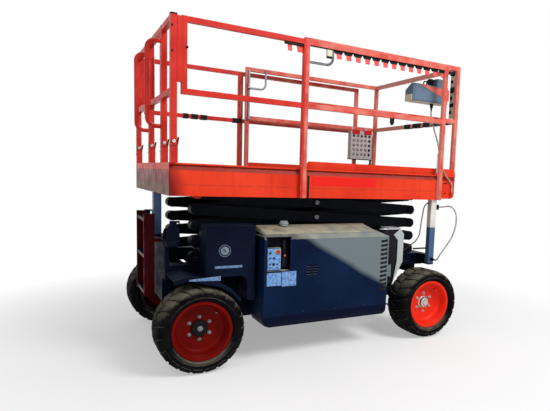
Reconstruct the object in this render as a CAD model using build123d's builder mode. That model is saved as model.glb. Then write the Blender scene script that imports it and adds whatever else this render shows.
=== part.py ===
from build123d import *
import os
from math import asin, atan2, cos, degrees, hypot, pi, radians, sin, tan

# Self-propelled rough-terrain scissor lift, stowed, wheels straight ahead.
# Millimetres. +X is the roll-out end, -X the ladder end, +Z up.
# The origin is on the ground under the middle of the whole machine. Sizes along X are
# given from the middle of the main platform, and save() moves each piece by MIDDLE_X.

os.makedirs("parts", exist_ok=True)

# ---------------------------------------------------------------- driving sizes
TYRE_R = 330.0
TYRE_W = 300.0
RIM_R = 230.0
TRACK_OUT = 880.0            # outer face of a tyre from the centre plane
REAR_X = -1025.0             # fixed, driven axle
FRONT_X = 1165.0             # steered axle

ARM_PITCH = 2130.0           # end pin to end pin
ARM_DEPTH = 90.0
ARM_WIDTH = 50.0
LEVEL_RISE = 130.0           # rise of one level when stowed
LEVELS = 4
BASE_PIN_X = -995.0
BASE_PIN_Z = 835.0
INNER_Y = 435.0              # centre plane of the inner arms
ARM_GAP = 10.0               # between the inner and outer arms
PIN_R = 22.0
PIN_CLEAR = 0.08             # radial, pin to bore
ROLLER_R = 48.0
ROLL_GAP = 0.3               # roller to its track

DECK_X0 = -1258.0
DECK_X1 = 1258.0
DECK_BOTTOM = 1342.0
FLOOR_TOP = 1470.0
FLOOR_T = 5.0
KERB_TOP = 1582.0
KERB_Y = 790.0               # outer face of the kerb panels
SHEET = 5.0
SEAM_X = -215.0              # joint between the two kerb panels

RAIL_TOP = 2597.0
RAIL_MID = 2103.0
TUBE = 40.0                  # rail tube, seen from the side
TUBE_Y = 34.0                # rail tube, across
EXT_RAISE = 41.0             # roll-out rails stand this much above the others
EXT_X0 = -190.0
EXT_X1 = 1495.0
EXT_Y = 738.0                # outer face of the roll-out section
EXT_TRAVEL = 1220.0

ENTRY_Y = -180.0             # middle of the way in
POST = 44.0                  # posts of the entry end
POST_X0 = DECK_X0 + SHEET
GRAB_R = 17.0
GRAB_OUT = 100.0             # grab tubes stand this far out from their posts

RAIL_Z0 = 670.0              # chassis side members, underside
RAIL_Z1 = BASE_PIN_Z - ROLLER_R - ROLL_GAP       # and top, where the rollers run
RAIL_Y0 = 400.0
RAIL_Y1 = 532.0
CHASSIS_X0 = -1235.0
CHASSIS_X1 = 1310.0

# ---------------------------------------------------------------- derived sizes
OUTER_Y = INNER_Y + ARM_WIDTH + ARM_GAP          # centre plane of the outer arms
STOW = asin(LEVEL_RISE / ARM_PITCH)              # arm angle when stowed
SPAN = ARM_PITCH * cos(STOW)                     # end pin to end pin, along X
PIN_X1 = BASE_PIN_X + SPAN
MID_X = BASE_PIN_X + SPAN / 2
DECK_PIN_Z = BASE_PIN_Z + LEVELS * LEVEL_RISE
WHEEL_Y = TRACK_OUT - TYRE_W / 2
BORE_R = PIN_R + PIN_CLEAR
PIN_Y1 = OUTER_Y + ARM_WIDTH / 2 + 6
RAIL_OUT = KERB_Y + TUBE_Y
GRAB_X = POST_X0 + 4 - GRAB_OUT                  # centre of the grab tubes
MIDDLE_X = (GRAB_X - GRAB_R + EXT_X1) / 2        # middle of the whole machine's length


def save(item, name):
    """Write a piece, with the origin moved under the middle of the whole machine."""
    piece = item.part.moved(Location((-MIDDLE_X, 0, 0)))
    piece.label = name
    export_step(piece, f"parts/{name}.step")


def span(side, a, b):
    """Two distances from the centre plane as a rising pair on one side."""
    return sorted((side * a, side * b))


def side_plane(y):
    """Sketch plane at a given Y: local x is X, local y is Z, normal +Y is away."""
    return Plane(origin=(0, y, 0), x_dir=(1, 0, 0), z_dir=(0, -1, 0))


def slab(x0, x1, z0, z1):
    """Rectangle of a side sketch given by its edges."""
    with Locations(((x0 + x1) / 2, (z0 + z1) / 2)):
        Rectangle(x1 - x0, z1 - z0)


def block(x0, x1, y0, y1, z0, z1, mode=Mode.ADD):
    """Box of the current part given by its faces."""
    with Locations(((x0 + x1) / 2, (y0 + y1) / 2, (z0 + z1) / 2)):
        Box(x1 - x0, y1 - y0, z1 - z0, mode=mode)


def rod_y(x, z, r, y0, y1, mode=Mode.ADD):
    """Cylinder along Y of the current part."""
    with Locations(Location((x, (y0 + y1) / 2, z), (90, 0, 0))):
        Cylinder(r, y1 - y0, mode=mode)


# ---------------------------------------------------------------- scissor arms
CROSS_S = 450.0              # cross tubes of an inner frame, from its end pins
CROSS_R = 25.0
LIFT_TUBE_S = 1880.0         # tube of the first frame that carries the rod
LIFT_S = 1730.0              # lift pin along the first inner arm
LIFT_O = 49.0                # and above its centre line
LIFT_BASE = (416.0, -169.0)  # barrel pin from the base pin, in X and Z
EAR_T = 16.0
EYE_HALF = 30.0
LIFT_PIN_R = 25.0
EAR_Y = EYE_HALF + 6.0       # inner face of an ear


def arm_plane(k, rising, y):
    """Plane of an arm: local x runs along it from its left pin."""
    z0 = BASE_PIN_Z + (k - 1) * LEVEL_RISE
    turn = -degrees(STOW) if rising else degrees(STOW)
    z = z0 if rising else z0 + LEVEL_RISE
    return Plane(Location((BASE_PIN_X, y, z), (0, turn, 0)) * Location((0, 0, 0), (90, 0, 0)))


def arm_bar(plane, bores):
    """One flat bar with round ends, from this plane outward by its width."""
    with BuildSketch(plane) as outline:
        with Locations((ARM_PITCH / 2, 0)):
            SlotCenterToCenter(ARM_PITCH, ARM_DEPTH)
        for s in bores:
            with Locations((s, 0)):
                Circle(BORE_R, mode=Mode.SUBTRACT)
    extrude(outline.sketch, amount=ARM_WIDTH)


for k in range(1, LEVELS + 1):
    # inner frame, rising to the right, with its pins and cross tubes
    with BuildPart() as inner:
        for side in (-1, 1):
            y = side * INNER_Y + ARM_WIDTH / 2
            arm_bar(arm_plane(k, True, y), ())
            for s in (0, ARM_PITCH / 2, ARM_PITCH):
                px = BASE_PIN_X + s * cos(STOW)
                pz = BASE_PIN_Z + (k - 1) * LEVEL_RISE + s * sin(STOW)
                y0 = INNER_Y + ARM_WIDTH / 2 - 2
                lo, hi = sorted((side * y0, side * PIN_Y1))
                rod_y(px, pz, PIN_R, lo, hi)
        tubes = (CROSS_S, LIFT_TUBE_S) if k == 1 else (CROSS_S, ARM_PITCH - CROSS_S)
        for s in tubes:
            px = BASE_PIN_X + s * cos(STOW)
            pz = BASE_PIN_Z + (k - 1) * LEVEL_RISE + s * sin(STOW)
            rod_y(px, pz, CROSS_R, -INNER_Y, INNER_Y)
        if k == 1:
            for y in (-EAR_Y, EAR_Y + EAR_T):
                with BuildSketch(arm_plane(1, True, y)):
                    with BuildLine():
                        Polyline((LIFT_S, LIFT_O + 38), (LIFT_TUBE_S + 25, 42),
                                 (LIFT_TUBE_S + 25, -30), (LIFT_S, LIFT_O - 38), close=True)
                    make_face()
                    with Locations((LIFT_S, LIFT_O)):
                        Circle(38)
                        Circle(LIFT_PIN_R, mode=Mode.SUBTRACT)
                extrude(amount=EAR_T)
    save(inner, f"arm_inner_{k}")

    # outer pair, falling to the right, bored for the inner frame's pins
    with BuildPart() as outer:
        for side in (-1, 1):
            y = side * OUTER_Y + ARM_WIDTH / 2
            bores = [0, ARM_PITCH / 2, ARM_PITCH]
            if k == 1:
                bores = bores[:2]
            arm_bar(arm_plane(k, False, y), bores)
            if k == 1:
                # roller on the lower end, running on the chassis
                px = BASE_PIN_X + SPAN
                y_in = INNER_Y - ARM_WIDTH / 2
                y_arm = OUTER_Y - ARM_WIDTH / 2
                lo, hi = sorted((side * y_in, side * (y_arm + 2)))
                rod_y(px, BASE_PIN_Z, PIN_R, lo, hi)
                lo, hi = sorted((side * y_in, side * (y_arm - 6)))
                rod_y(px, BASE_PIN_Z, ROLLER_R, lo, hi)
    save(outer, f"arm_outer_{k}")

# ---------------------------------------------------------------- lift cylinder
BARREL_R = 60.0
ROD_R = 32.0
EYE_R = 40.0
bx = BASE_PIN_X + LIFT_BASE[0]
bz = BASE_PIN_Z + LIFT_BASE[1]
ex = BASE_PIN_X + LIFT_S * cos(STOW) - LIFT_O * sin(STOW)
ez = BASE_PIN_Z + LIFT_S * sin(STOW) + LIFT_O * cos(STOW)
LIFT_LEN = hypot(ex - bx, ez - bz)
LIFT_ANG = atan2(ez - bz, ex - bx)
lift_axis = Plane(origin=(bx, 0, bz), x_dir=(0, 1, 0), z_dir=(cos(LIFT_ANG), 0, sin(LIFT_ANG)))
GLAND_S = LIFT_LEN - 110.0   # barrel's mouth from its pin

BARREL_S = 66.0              # barrel's closed end from its pin, clear of the clevis

with BuildPart() as barrel:
    with BuildSketch(lift_axis.offset(BARREL_S)):
        Circle(BARREL_R)
    extrude(amount=GLAND_S - BARREL_S)
    with BuildSketch(lift_axis):
        Rectangle(2 * EYE_HALF, 2 * EYE_R - 10)
    extrude(amount=BARREL_S + 2)
    rod_y(bx, bz, EYE_R + 5, -EYE_HALF, EYE_HALF)
    rod_y(bx, bz, LIFT_PIN_R + PIN_CLEAR, -200, 200, mode=Mode.SUBTRACT)
    with BuildSketch(lift_axis.offset(90)):
        Circle(ROD_R + 0.3)
    extrude(amount=GLAND_S, mode=Mode.SUBTRACT)
save(barrel, "lift_barrel")

with BuildPart() as rod:
    with BuildSketch(lift_axis.offset(120)):
        Circle(ROD_R)
    extrude(amount=LIFT_LEN - 120 - 20)
    rod_y(ex, ez, EYE_R, -EYE_HALF, EYE_HALF)
    rod_y(ex, ez, LIFT_PIN_R, -200, 200, mode=Mode.SUBTRACT)
save(rod, "lift_rod")

# ---------------------------------------------------------------- wheels
RIM_W = 252.0
HUB_DISH = 101.0             # wheel disc behind the rim's outer edge
RIM_SEAT = RIM_R - 18.5      # where the tyre's beads sit
LUGS_ROUND = 20              # tread lugs round each of a tyre's two rows
LUG_HALF = 28.0              # half the length of a tread lug
TREAD_W = 134.0              # the lugs end this far from the middle
GROOVE_R = TYRE_R - 14.0
# half width and radius of the rings of a sidewall, from the bead to the tread
SIDE_RINGS = [
    (TYRE_W / 2 - 32, RIM_R + 8),
    (TYRE_W / 2 - 6, RIM_R + 24),
    (TYRE_W / 2, RIM_R + 44),
    (TREAD_W, GROOVE_R),
]


def tyre_plane(w):
    """Sketch plane across a tyre's axle, w from its middle."""
    return Plane(origin=(0, w, 0), x_dir=(1, 0, 0), z_dir=(0, 1, 0))


def tread_outline(start):
    """Corners of one row of lugs, with a lug's trailing corner lowest."""
    corners = []
    lug = degrees(asin(LUG_HALF / TYRE_R))
    root = degrees(asin(LUG_HALF / GROOVE_R))
    for i in range(LUGS_ROUND):
        mid = (i + start) * 360 / LUGS_ROUND + 90 - lug
        for r, turn in ((GROOVE_R, mid - root), (TYRE_R, mid - lug), (TYRE_R, mid + lug), (GROOVE_R, mid + root)):
            corners.append((r * cos(radians(turn)), r * sin(radians(turn))))
    return corners


def side_disc(side, inner, outer, mode):
    """Flat-sided cone about a tyre's axle between two (half width, radius) rings."""
    (w0, r0), (w1, r1) = inner, outer
    lo, hi = span(side, w0, w1)
    r_lo, r_hi = (r1, r0) if side < 0 else (r0, r1)
    slope = degrees(atan2((r_lo - r_hi) * cos(pi / LUGS_ROUND), hi - lo))
    with BuildPart(mode=Mode.PRIVATE) as disc:
        with BuildSketch(tyre_plane(lo)):
            RegularPolygon(r_lo, LUGS_ROUND)
        extrude(amount=hi - lo, taper=slope)
    add(disc.part, mode=mode)


# one tyre about its own middle, its axle along Y
BEAD, FLANK, BULGE, SHOULDER = SIDE_RINGS
with BuildPart() as tyre_form:
    for side, start in ((-1, 0.0), (1, 0.5)):
        with BuildSketch(tyre_plane(min(0, side * TREAD_W))) as row:
            with BuildLine():
                Polyline(*tread_outline(start), close=True)
            make_face()
        extrude(row.sketch, amount=TREAD_W)
        side_disc(side, SHOULDER, BULGE, Mode.ADD)
    for side in (-1, 1):
        side_disc(side, BEAD, FLANK, Mode.SUBTRACT)
        side_disc(side, FLANK, BULGE, Mode.SUBTRACT)
    with BuildSketch(tyre_plane(-TYRE_W)) as bore:
        RegularPolygon((RIM_SEAT + 0.6) / cos(pi / LUGS_ROUND), LUGS_ROUND)
    extrude(bore.sketch, amount=2 * TYRE_W, mode=Mode.SUBTRACT)

for x, tag in ((REAR_X, "rear"), (FRONT_X, "front")):
    for side, hand in ((-1, "near"), (1, "far")):
        with BuildPart() as tyre:
            add(tyre_form.part.moved(Location((x, side * WHEEL_Y, TYRE_R))))
        save(tyre, f"tyre_{tag}_{hand}")
        with BuildPart() as rim:
            hub = Plane(origin=(x, side * WHEEL_Y, TYRE_R), x_dir=(0, side, 0), z_dir=(side, 0, 0))
            with BuildSketch(hub):
                with BuildLine():
                    h = RIM_W / 2
                    d = h - HUB_DISH
                    Polyline((-h, RIM_R), (-h + 7, RIM_R), (-h + 7, RIM_SEAT), (h - 7, RIM_SEAT),
                             (h - 7, RIM_R), (h, RIM_R), (h, RIM_R - 25), (h - 22, RIM_R - 34),
                             (d + 26, RIM_R - 44), (d + 14, 130), (d + 14, 66), (d + 52, 60),
                             (d + 52, 0), (d, 0), (d, 130), (d + 6, RIM_R - 52),
                             (-h + 12, RIM_R - 32), (-h, RIM_R - 25), close=True)
                make_face()
            revolve(axis=Axis((x, side * WHEEL_Y, TYRE_R), (0, 1, 0)))
        save(rim, f"rim_{tag}_{hand}")

# ---------------------------------------------------------------- axles and steering
DISH_Y = WHEEL_Y + RIM_W / 2 - HUB_DISH          # inner face of the wheel disc
KING_Y = DISH_Y - 120.0
KING_R = 24.0
AXLE_HUB_R = 60.0
STEER_ARM = 100.0            # kingpin to the tie rod's pin
STEER_X = FRONT_X - STEER_ARM
ARM_Z = (TYRE_R - 113, TYRE_R - 95)              # steering arm, under the axle's fork
EYE_Z = (TYRE_R - 140, TYRE_R - 116)             # tie rod's eyes, under the arm
TIE_ROD_R = 11.0
STEER_PIN_R = 10.0

with BuildPart() as rear_axle:
    block(REAR_X - 60, REAR_X + 60, -KING_Y - 20, KING_Y + 20, TYRE_R - 60, TYRE_R + 60)
    rod_y(REAR_X, TYRE_R, 85, -DISH_Y + 20.5, -KING_Y)
    rod_y(REAR_X, TYRE_R, 85, KING_Y, DISH_Y - 20.5)
    rod_y(REAR_X, TYRE_R, AXLE_HUB_R, -DISH_Y + 0.3, -KING_Y)
    rod_y(REAR_X, TYRE_R, AXLE_HUB_R, KING_Y, DISH_Y - 0.3)
save(rear_axle, "axle_rear")

with BuildPart() as front_axle:
    block(FRONT_X - 50, FRONT_X + 50, -KING_Y + 60, KING_Y - 60, TYRE_R - 50, TYRE_R + 50)
    for side in (-1, 1):
        for z in (TYRE_R - 85, TYRE_R + 60):
            lo, hi = span(side, KING_Y - 62, KING_Y + 36)
            block(FRONT_X - 36, FRONT_X + 36, lo, hi, z, z + 25)
        lo, hi = span(side, KING_Y - 110, KING_Y - 60)
        block(FRONT_X - 45, FRONT_X + 45, lo, hi, TYRE_R - 85, TYRE_R + 85)
    for side in (-1, 1):
        with Locations((FRONT_X, side * KING_Y, TYRE_R)):
            Cylinder(KING_R + PIN_CLEAR, 300, mode=Mode.SUBTRACT)
save(front_axle, "axle_front")

for side, hand in ((-1, "near"), (1, "far")):
    with BuildPart() as knuckle:
        king_top = TYRE_R + 88
        with Locations((FRONT_X, side * KING_Y, (king_top + ARM_Z[0] - 2) / 2)):
            Cylinder(KING_R, king_top - ARM_Z[0] + 2)
        with Locations((FRONT_X, side * KING_Y, TYRE_R)):
            Cylinder(46, 116)
        lo, hi = span(side, KING_Y, DISH_Y - 0.3)
        rod_y(FRONT_X, TYRE_R, 52, lo, hi)
        with BuildSketch(Plane.XY.offset(ARM_Z[0])):
            with Locations(((FRONT_X + STEER_X) / 2, side * KING_Y)):
                SlotCenterToCenter(STEER_ARM, 44)
        extrude(amount=ARM_Z[1] - ARM_Z[0])
        with Locations((STEER_X, side * KING_Y, (EYE_Z[0] + ARM_Z[0]) / 2)):
            Cylinder(STEER_PIN_R, ARM_Z[0] - EYE_Z[0] + 4)
    save(knuckle, f"knuckle_{hand}")

with BuildPart() as tie_rod:
    rod_y(STEER_X, (EYE_Z[0] + EYE_Z[1]) / 2, TIE_ROD_R, -KING_Y + 18, KING_Y - 18)
    for side in (-1, 1):
        with Locations((STEER_X, side * KING_Y, (EYE_Z[0] + EYE_Z[1]) / 2)):
            Cylinder(22, EYE_Z[1] - EYE_Z[0])
            Cylinder(STEER_PIN_R + PIN_CLEAR, 100, mode=Mode.SUBTRACT)
save(tie_rod, "tie_rod")

# ---------------------------------------------------------------- chassis
PAN_X0 = -690.0
PAN_X1 = 740.0
PAN_Z0 = 300.0
PAN_Y = 455.0
REST_X = -1238.0             # middle of the ladder end's deck rest
BEAM_TOP = 985.0             # ladder end's beam
LUG_T = 12.0
LUG_R = 32.0
LUG_HOLE_R = 18.0
TIE_Y = 300.0
TIE_Z = 730.0
# x, y, foot's height, hole above the foot
LUGS = [(-1205.0, side * y, BEAM_TOP, h) for side in (-1, 1) for y, h in ((600.0, 90.0), (455.0, 55.0))]

# hinge of the near module's swing-out tray
TRAY_X = 665.0
TRAY_Y = -840.0
TRAY_PIN_R = 12.0
TRAY_BARREL_R = 20.0
TRAY_Z = (600.0, 640.0, 750.0, 790.0)            # heights where its barrels meet
TRAY_GAP = 0.3

with BuildPart() as chassis:
    for side in (-1, 1):
        lo, hi = span(side, RAIL_Y0, RAIL_Y1)
        block(CHASSIS_X0, CHASSIS_X1, lo, hi, RAIL_Z0, RAIL_Z1)
        # clevis plates of the base pins
        for y0 in (INNER_Y - ARM_WIDTH / 2 - 14, INNER_Y + ARM_WIDTH / 2 + 3):
            lo, hi = span(side, y0, y0 + 11)
            with BuildSketch(side_plane(hi)):
                slab(BASE_PIN_X - 45, BASE_PIN_X + 45, RAIL_Z1 - 2, BASE_PIN_Z)
                with Locations((BASE_PIN_X, BASE_PIN_Z)):
                    Circle(45)
            extrude(amount=hi - lo)
        lo, hi = span(side, 380, 560)
        rod_y(BASE_PIN_X, BASE_PIN_Z, BORE_R, lo, hi, mode=Mode.SUBTRACT)
    # cross members
    for x0, x1, z0 in ((CHASSIS_X0, CHASSIS_X0 + 60, 480.0), (-820.0, -740.0, 560.0),
                       (780.0, 860.0, 600.0), (CHASSIS_X1 - 60, CHASSIS_X1, 560.0)):
        block(x0, x1, -RAIL_Y0 - 5, RAIL_Y0 + 5, z0, RAIL_Z1)
    # barrel clevis on its cross beam
    block(bx - 120, bx - 60, -RAIL_Y0 - 5, RAIL_Y0 + 5, bz - 60, bz + 40)
    for y0 in (-EYE_HALF - 2 - EAR_T, EYE_HALF + 2):
        with BuildSketch(side_plane(y0 + EAR_T)):
            slab(bx - 62, bx, bz - 40, bz + 40)
            with Locations((bx, bz)):
                Circle(40)
        extrude(amount=EAR_T)
    rod_y(bx, bz, LIFT_PIN_R, -EYE_HALF - 2 - EAR_T, EYE_HALF + 2 + EAR_T)
    # axle mounts
    block(REAR_X - 70, REAR_X + 70, -RAIL_Y1, -RAIL_Y0, TYRE_R + 60, RAIL_Z0 + 2)
    block(REAR_X - 70, REAR_X + 70, RAIL_Y0, RAIL_Y1, TYRE_R + 60, RAIL_Z0 + 2)
    block(FRONT_X - 70, FRONT_X + 70, -130, 130, TYRE_R + 50, RAIL_Z0 + 2)
    block(FRONT_X - 70, FRONT_X + 70, -RAIL_Y0 - 5, RAIL_Y0 + 5, RAIL_Z0, RAIL_Z1)
    # end beam above the ladder, with its deck rest
    block(CHASSIS_X0 - 5, CHASSIS_X0 + 70, -640, 640, BEAM_TOP - 35, BEAM_TOP)
    block(CHASSIS_X0, CHASSIS_X0 + 30, -RAIL_Y1, RAIL_Y1, RAIL_Z1 - 2, BEAM_TOP - 33)
    block(REST_X - 30, REST_X + 30, ENTRY_Y - 50, ENTRY_Y + 10, BEAM_TOP - 2, DECK_BOTTOM - ROLL_GAP)
    # lifting lugs on the ladder end's beam, tie-down lugs at the steered end
    for x, y, z, h in LUGS:
        with BuildSketch(side_plane(y + LUG_T / 2)):
            slab(x - LUG_R, x + LUG_R, z - 2, z + h)
            with Locations((x, z + h)):
                Circle(LUG_R)
                Circle(LUG_HOLE_R, mode=Mode.SUBTRACT)
        extrude(amount=LUG_T)
    for side in (-1, 1):
        with BuildSketch(side_plane(side * TIE_Y + LUG_T / 2)):
            slab(CHASSIS_X1 - 2, CHASSIS_X1 + 38, TIE_Z - LUG_R, TIE_Z + LUG_R)
            with Locations((CHASSIS_X1 + 38, TIE_Z)):
                Circle(LUG_R)
                Circle(LUG_HOLE_R, mode=Mode.SUBTRACT)
        extrude(amount=LUG_T)
    # hinge plate, pin and outer barrels of the swing-out tray
    block(TRAY_X - 7, TRAY_X + 7, TRAY_Y, -RAIL_Y1 + 2, TRAY_Z[0], TRAY_Z[1] - TRAY_GAP)
    block(TRAY_X - 7, TRAY_X + 7, TRAY_Y, -RAIL_Y1 + 2, TRAY_Z[2] + TRAY_GAP, TRAY_Z[3])
    block(TRAY_X - 7, TRAY_X + 7, TRAY_Y + 60, -RAIL_Y1 + 2, TRAY_Z[0], TRAY_Z[3])
    for z0, z1 in ((TRAY_Z[0], TRAY_Z[1] - TRAY_GAP), (TRAY_Z[2] + TRAY_GAP, TRAY_Z[3])):
        with Locations((TRAY_X, TRAY_Y, (z0 + z1) / 2)):
            Cylinder(TRAY_BARREL_R, z1 - z0)
    with Locations((TRAY_X, TRAY_Y, (TRAY_Z[0] + TRAY_Z[3]) / 2)):
        Cylinder(TRAY_PIN_R, TRAY_Z[3] - TRAY_Z[0])
save(chassis, "chassis_frame")

# pan under the scissor, hung from the side members, with ledges for the modules
MOD_X0 = -550.0
MOD_X1 = 640.0
MOD_Z0 = 290.0
MOD_Z1 = 1050.0
MOD_Y0 = 560.0
MOD_Y1 = 862.0
LEDGE_XS = (-350.0, 400.0)

with BuildPart() as pan:
    block(PAN_X0, PAN_X1, -PAN_Y, PAN_Y, PAN_Z0, PAN_Z0 + 12)
    for side in (-1, 1):
        lo, hi = span(side, PAN_Y - 12, PAN_Y)
        block(PAN_X0, PAN_X1, lo, hi, PAN_Z0, RAIL_Z0)
        for x in LEDGE_XS:
            rest_gap = TRAY_GAP if side < 0 else 0.0
            lo, hi = span(side, PAN_Y - 12, MOD_Y0 + 60)
            block(x, x + 50, lo, hi, MOD_Z0 - 30, MOD_Z0 - rest_gap)
            lo, hi = span(side, PAN_Y - 12, PAN_Y + 6)
            block(x, x + 50, lo, hi, MOD_Z0 - 30, PAN_Z0 + 40)
save(pan, "belly_pan")

# ---------------------------------------------------------------- fenders and deck rests
FENDER_T = 6.0
FENDER_Y = 860.0
# top line of a rear fender, from the end of the machine forward
REAR_FENDER = [(-1235.0, 730.0), (-1130.0, 752.0), (-893.0, 690.0), (-800.0, 632.0), (-735.0, 560.0)]
# outline of the plate beside a steered wheel, and the line of the sheet behind it
FRONT_PLATE = [(850.0, 1058.0), (889.0, 1013.0), (887.0, 748.0), (785.0, 566.0),
               (821.0, 761.0), (821.0, 957.0), (776.0, 1007.0)]
FRONT_SHEET = [(785.0, 566.0), (887.0, 748.0), (960.0, 748.0)]
FRONT_PLATE_Y = 746.0
POST_Y = (645.0, 700.0)      # deck rest posts of the steered end
JUNCTION = (1240.0, 1290.0)  # cable box on the near post


def folded_sheet(line, lo, hi):
    """Sheet of FENDER_T under a side line, between two heights of Y."""
    with BuildSketch(side_plane(hi)) as outline:
        with BuildLine():
            under = [(x, z - FENDER_T) for x, z in reversed(line)]
            Polyline(*line, *under, close=True)
        make_face()
    extrude(outline.sketch, amount=hi - lo)


with BuildPart() as fenders:
    for side in (-1, 1):
        lo, hi = span(side, RAIL_Y1, FENDER_Y)
        folded_sheet(REAR_FENDER, lo, hi)
        lo, hi = span(side, FENDER_Y - FENDER_T, FENDER_Y)
        with BuildSketch(side_plane(hi)):
            with BuildLine():
                lip = [(x, z - 30) for x, z in reversed(REAR_FENDER)]
                Polyline(*REAR_FENDER, *lip, close=True)
            make_face()
        extrude(amount=hi - lo)
        # plate and sheet beside the steered wheel
        lo, hi = span(side, FRONT_PLATE_Y - FENDER_T, FRONT_PLATE_Y)
        with BuildSketch(side_plane(hi)):
            with BuildLine():
                Polyline(*FRONT_PLATE, close=True)
            make_face()
        extrude(amount=hi - lo)
        lo, hi = span(side, RAIL_Y1, FRONT_PLATE_Y)
        folded_sheet(FRONT_SHEET, lo, hi)
        # deck rest at the steered end
        lo, hi = span(side, POST_Y[0], POST_Y[1])
        block(CHASSIS_X1 - 65, CHASSIS_X1, lo, hi, 690, DECK_BOTTOM - ROLL_GAP)
        lo, hi = span(side, RAIL_Y1, POST_Y[0] + 5)
        block(CHASSIS_X1 - 65, CHASSIS_X1, lo, hi, 690, RAIL_Z1)
    # cable box and gland on the near post
    block(CHASSIS_X1 - 5, CHASSIS_X1 + 35, -POST_Y[1], -POST_Y[1] + 40, JUNCTION[0], JUNCTION[1])
    block(1264, 1292, -POST_Y[1] - 12, -POST_Y[1] + 2, 731, 759)
save(fenders, "fenders")

# ---------------------------------------------------------------- side modules
SHELL = 6.0
BAY = (-527.0, -328.0, 758.0, 1028.0)            # control bay, x and z
BAY_DEEP = 60.0
PANEL = (-524.0, -406.0, 761.0, 942.0)
LOUVRES = 12
LOUVRE_X = (556.0, 628.0)
LOUVRE_Z = (525.0, 1000.0)
VENT_X = (-178.0, -120.0)
VENT_ZS = (712.0, 734.0, 756.0, 778.0)


def module_solid(side, inset, back):
    """Body of a side module, drawn in by a wall's thickness and open to a given back."""
    with BuildPart() as solid:
        with BuildSketch(Plane(origin=(MOD_X0, 0, 0), x_dir=(0, 1, 0), z_dir=(1, 0, 0))) as ends:
            with BuildLine():
                Polyline((side * back, MOD_Z0), (side * 835, MOD_Z0), (side * 855, MOD_Z0 + 40),
                         (side * MOD_Y1, 470), (side * MOD_Y1, MOD_Z1 - 40), (side * 835, MOD_Z1),
                         (side * back, MOD_Z1), close=True)
            make_face()
            if inset:
                offset(amount=-inset, kind=Kind.INTERSECTION, mode=Mode.REPLACE)
        extrude(amount=MOD_X1 - MOD_X0)
        with BuildSketch(side_plane(1000)):
            with BuildLine():
                Polyline((MOD_X0, MOD_Z0 + 60), (MOD_X0 + 18, MOD_Z0 + 18), (MOD_X0 + 60, MOD_Z0),
                         (MOD_X1 - 20, MOD_Z0), (MOD_X1, MOD_Z0 + 20), (MOD_X1, MOD_Z1 - 35),
                         (MOD_X1 - 110, MOD_Z1), (MOD_X0 + 20, MOD_Z1), (MOD_X0, MOD_Z1 - 20),
                         close=True)
            make_face()
            if inset:
                offset(amount=-inset, kind=Kind.INTERSECTION, mode=Mode.REPLACE)
        extrude(amount=2000, mode=Mode.INTERSECT)
    return solid.part


for side, hand in ((-1, "near"), (1, "far")):
    with BuildPart() as module:
        add(module_solid(side, 0.0, MOD_Y0))
        add(module_solid(side, SHELL, MOD_Y0 - 40), mode=Mode.SUBTRACT)
        # control bay behind a cut in the face, with its panel
        x0, x1, z0, z1 = BAY
        lo, hi = span(side, MOD_Y1 - BAY_DEEP - SHELL, MOD_Y1 - 2)
        block(x0 - SHELL, x1 + SHELL, lo, hi, z0 - SHELL, z1 + SHELL)
        lo, hi = span(side, MOD_Y1 - BAY_DEEP, MOD_Y1 + 10)
        block(x0, x1, lo, hi, z0, z1, mode=Mode.SUBTRACT)
        x0, x1, z0, z1 = PANEL
        lo, hi = span(side, MOD_Y1 - BAY_DEEP - 2, MOD_Y1 - 12)
        block(x0, x1, lo, hi, z0, z1)
        # louvres at the steered end, vent slots by the bay
        lo, hi = span(side, MOD_Y1 - SHELL - 2, MOD_Y1 + 2)
        pitch = (LOUVRE_Z[1] - LOUVRE_Z[0]) / LOUVRES
        for i in range(LOUVRES):
            z = LOUVRE_Z[0] + i * pitch
            block(LOUVRE_X[0], LOUVRE_X[1], lo, hi, z, z + pitch * 0.45, mode=Mode.SUBTRACT)
        for x in VENT_X:
            for z in VENT_ZS:
                block(x, x + 46, lo, hi, z, z + 12, mode=Mode.SUBTRACT)
        if side < 0:
            # leaf and barrel on the tray's hinge pin
            block(MOD_X1 - 4, TRAY_X, -MOD_Y1 + 8, TRAY_Y + 8, TRAY_Z[1] + 4, TRAY_Z[2] - 4)
            with Locations((TRAY_X, TRAY_Y, (TRAY_Z[1] + TRAY_Z[2]) / 2)):
                Cylinder(TRAY_BARREL_R, TRAY_Z[2] - TRAY_Z[1])
                Cylinder(TRAY_PIN_R + PIN_CLEAR, 400, mode=Mode.SUBTRACT)
    save(module, f"module_{hand}")

with BuildPart() as engine:
    block(-60, 470, -800, -600, MOD_Z0 + SHELL, 700)
save(engine, "engine_block")

TANK_X0 = -985.0
TANK_X1 = MOD_X0 - 45
with BuildPart() as tank:
    with BuildSketch(side_plane(-MOD_Y0)):
        with BuildLine():
            Polyline((TANK_X0, 720), (TANK_X0, 1120), (TANK_X1, 1120), (TANK_X1, 520),
                     (-655, 520), (-655, 690), (-700, 720), close=True)
        make_face()
    extrude(amount=210)
    fillet(tank.edges().filter_by(Axis.Y), 11)
    block(-960, -900, -MOD_Y0 - 2, -RAIL_Y1, 720, 780)
    block(TANK_X1 - 80, TANK_X1 - 20, -MOD_Y0 - 2, -RAIL_Y1, 720, 780)
save(tank, "tank_near")

# ---------------------------------------------------------------- ladder
LADDER_HALF = 185.0
LADDER_X0 = -1365.0
LADDER_X1 = -1285.0
LADDER_Z0 = 520.0
LADDER_Z1 = 1180.0

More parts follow.
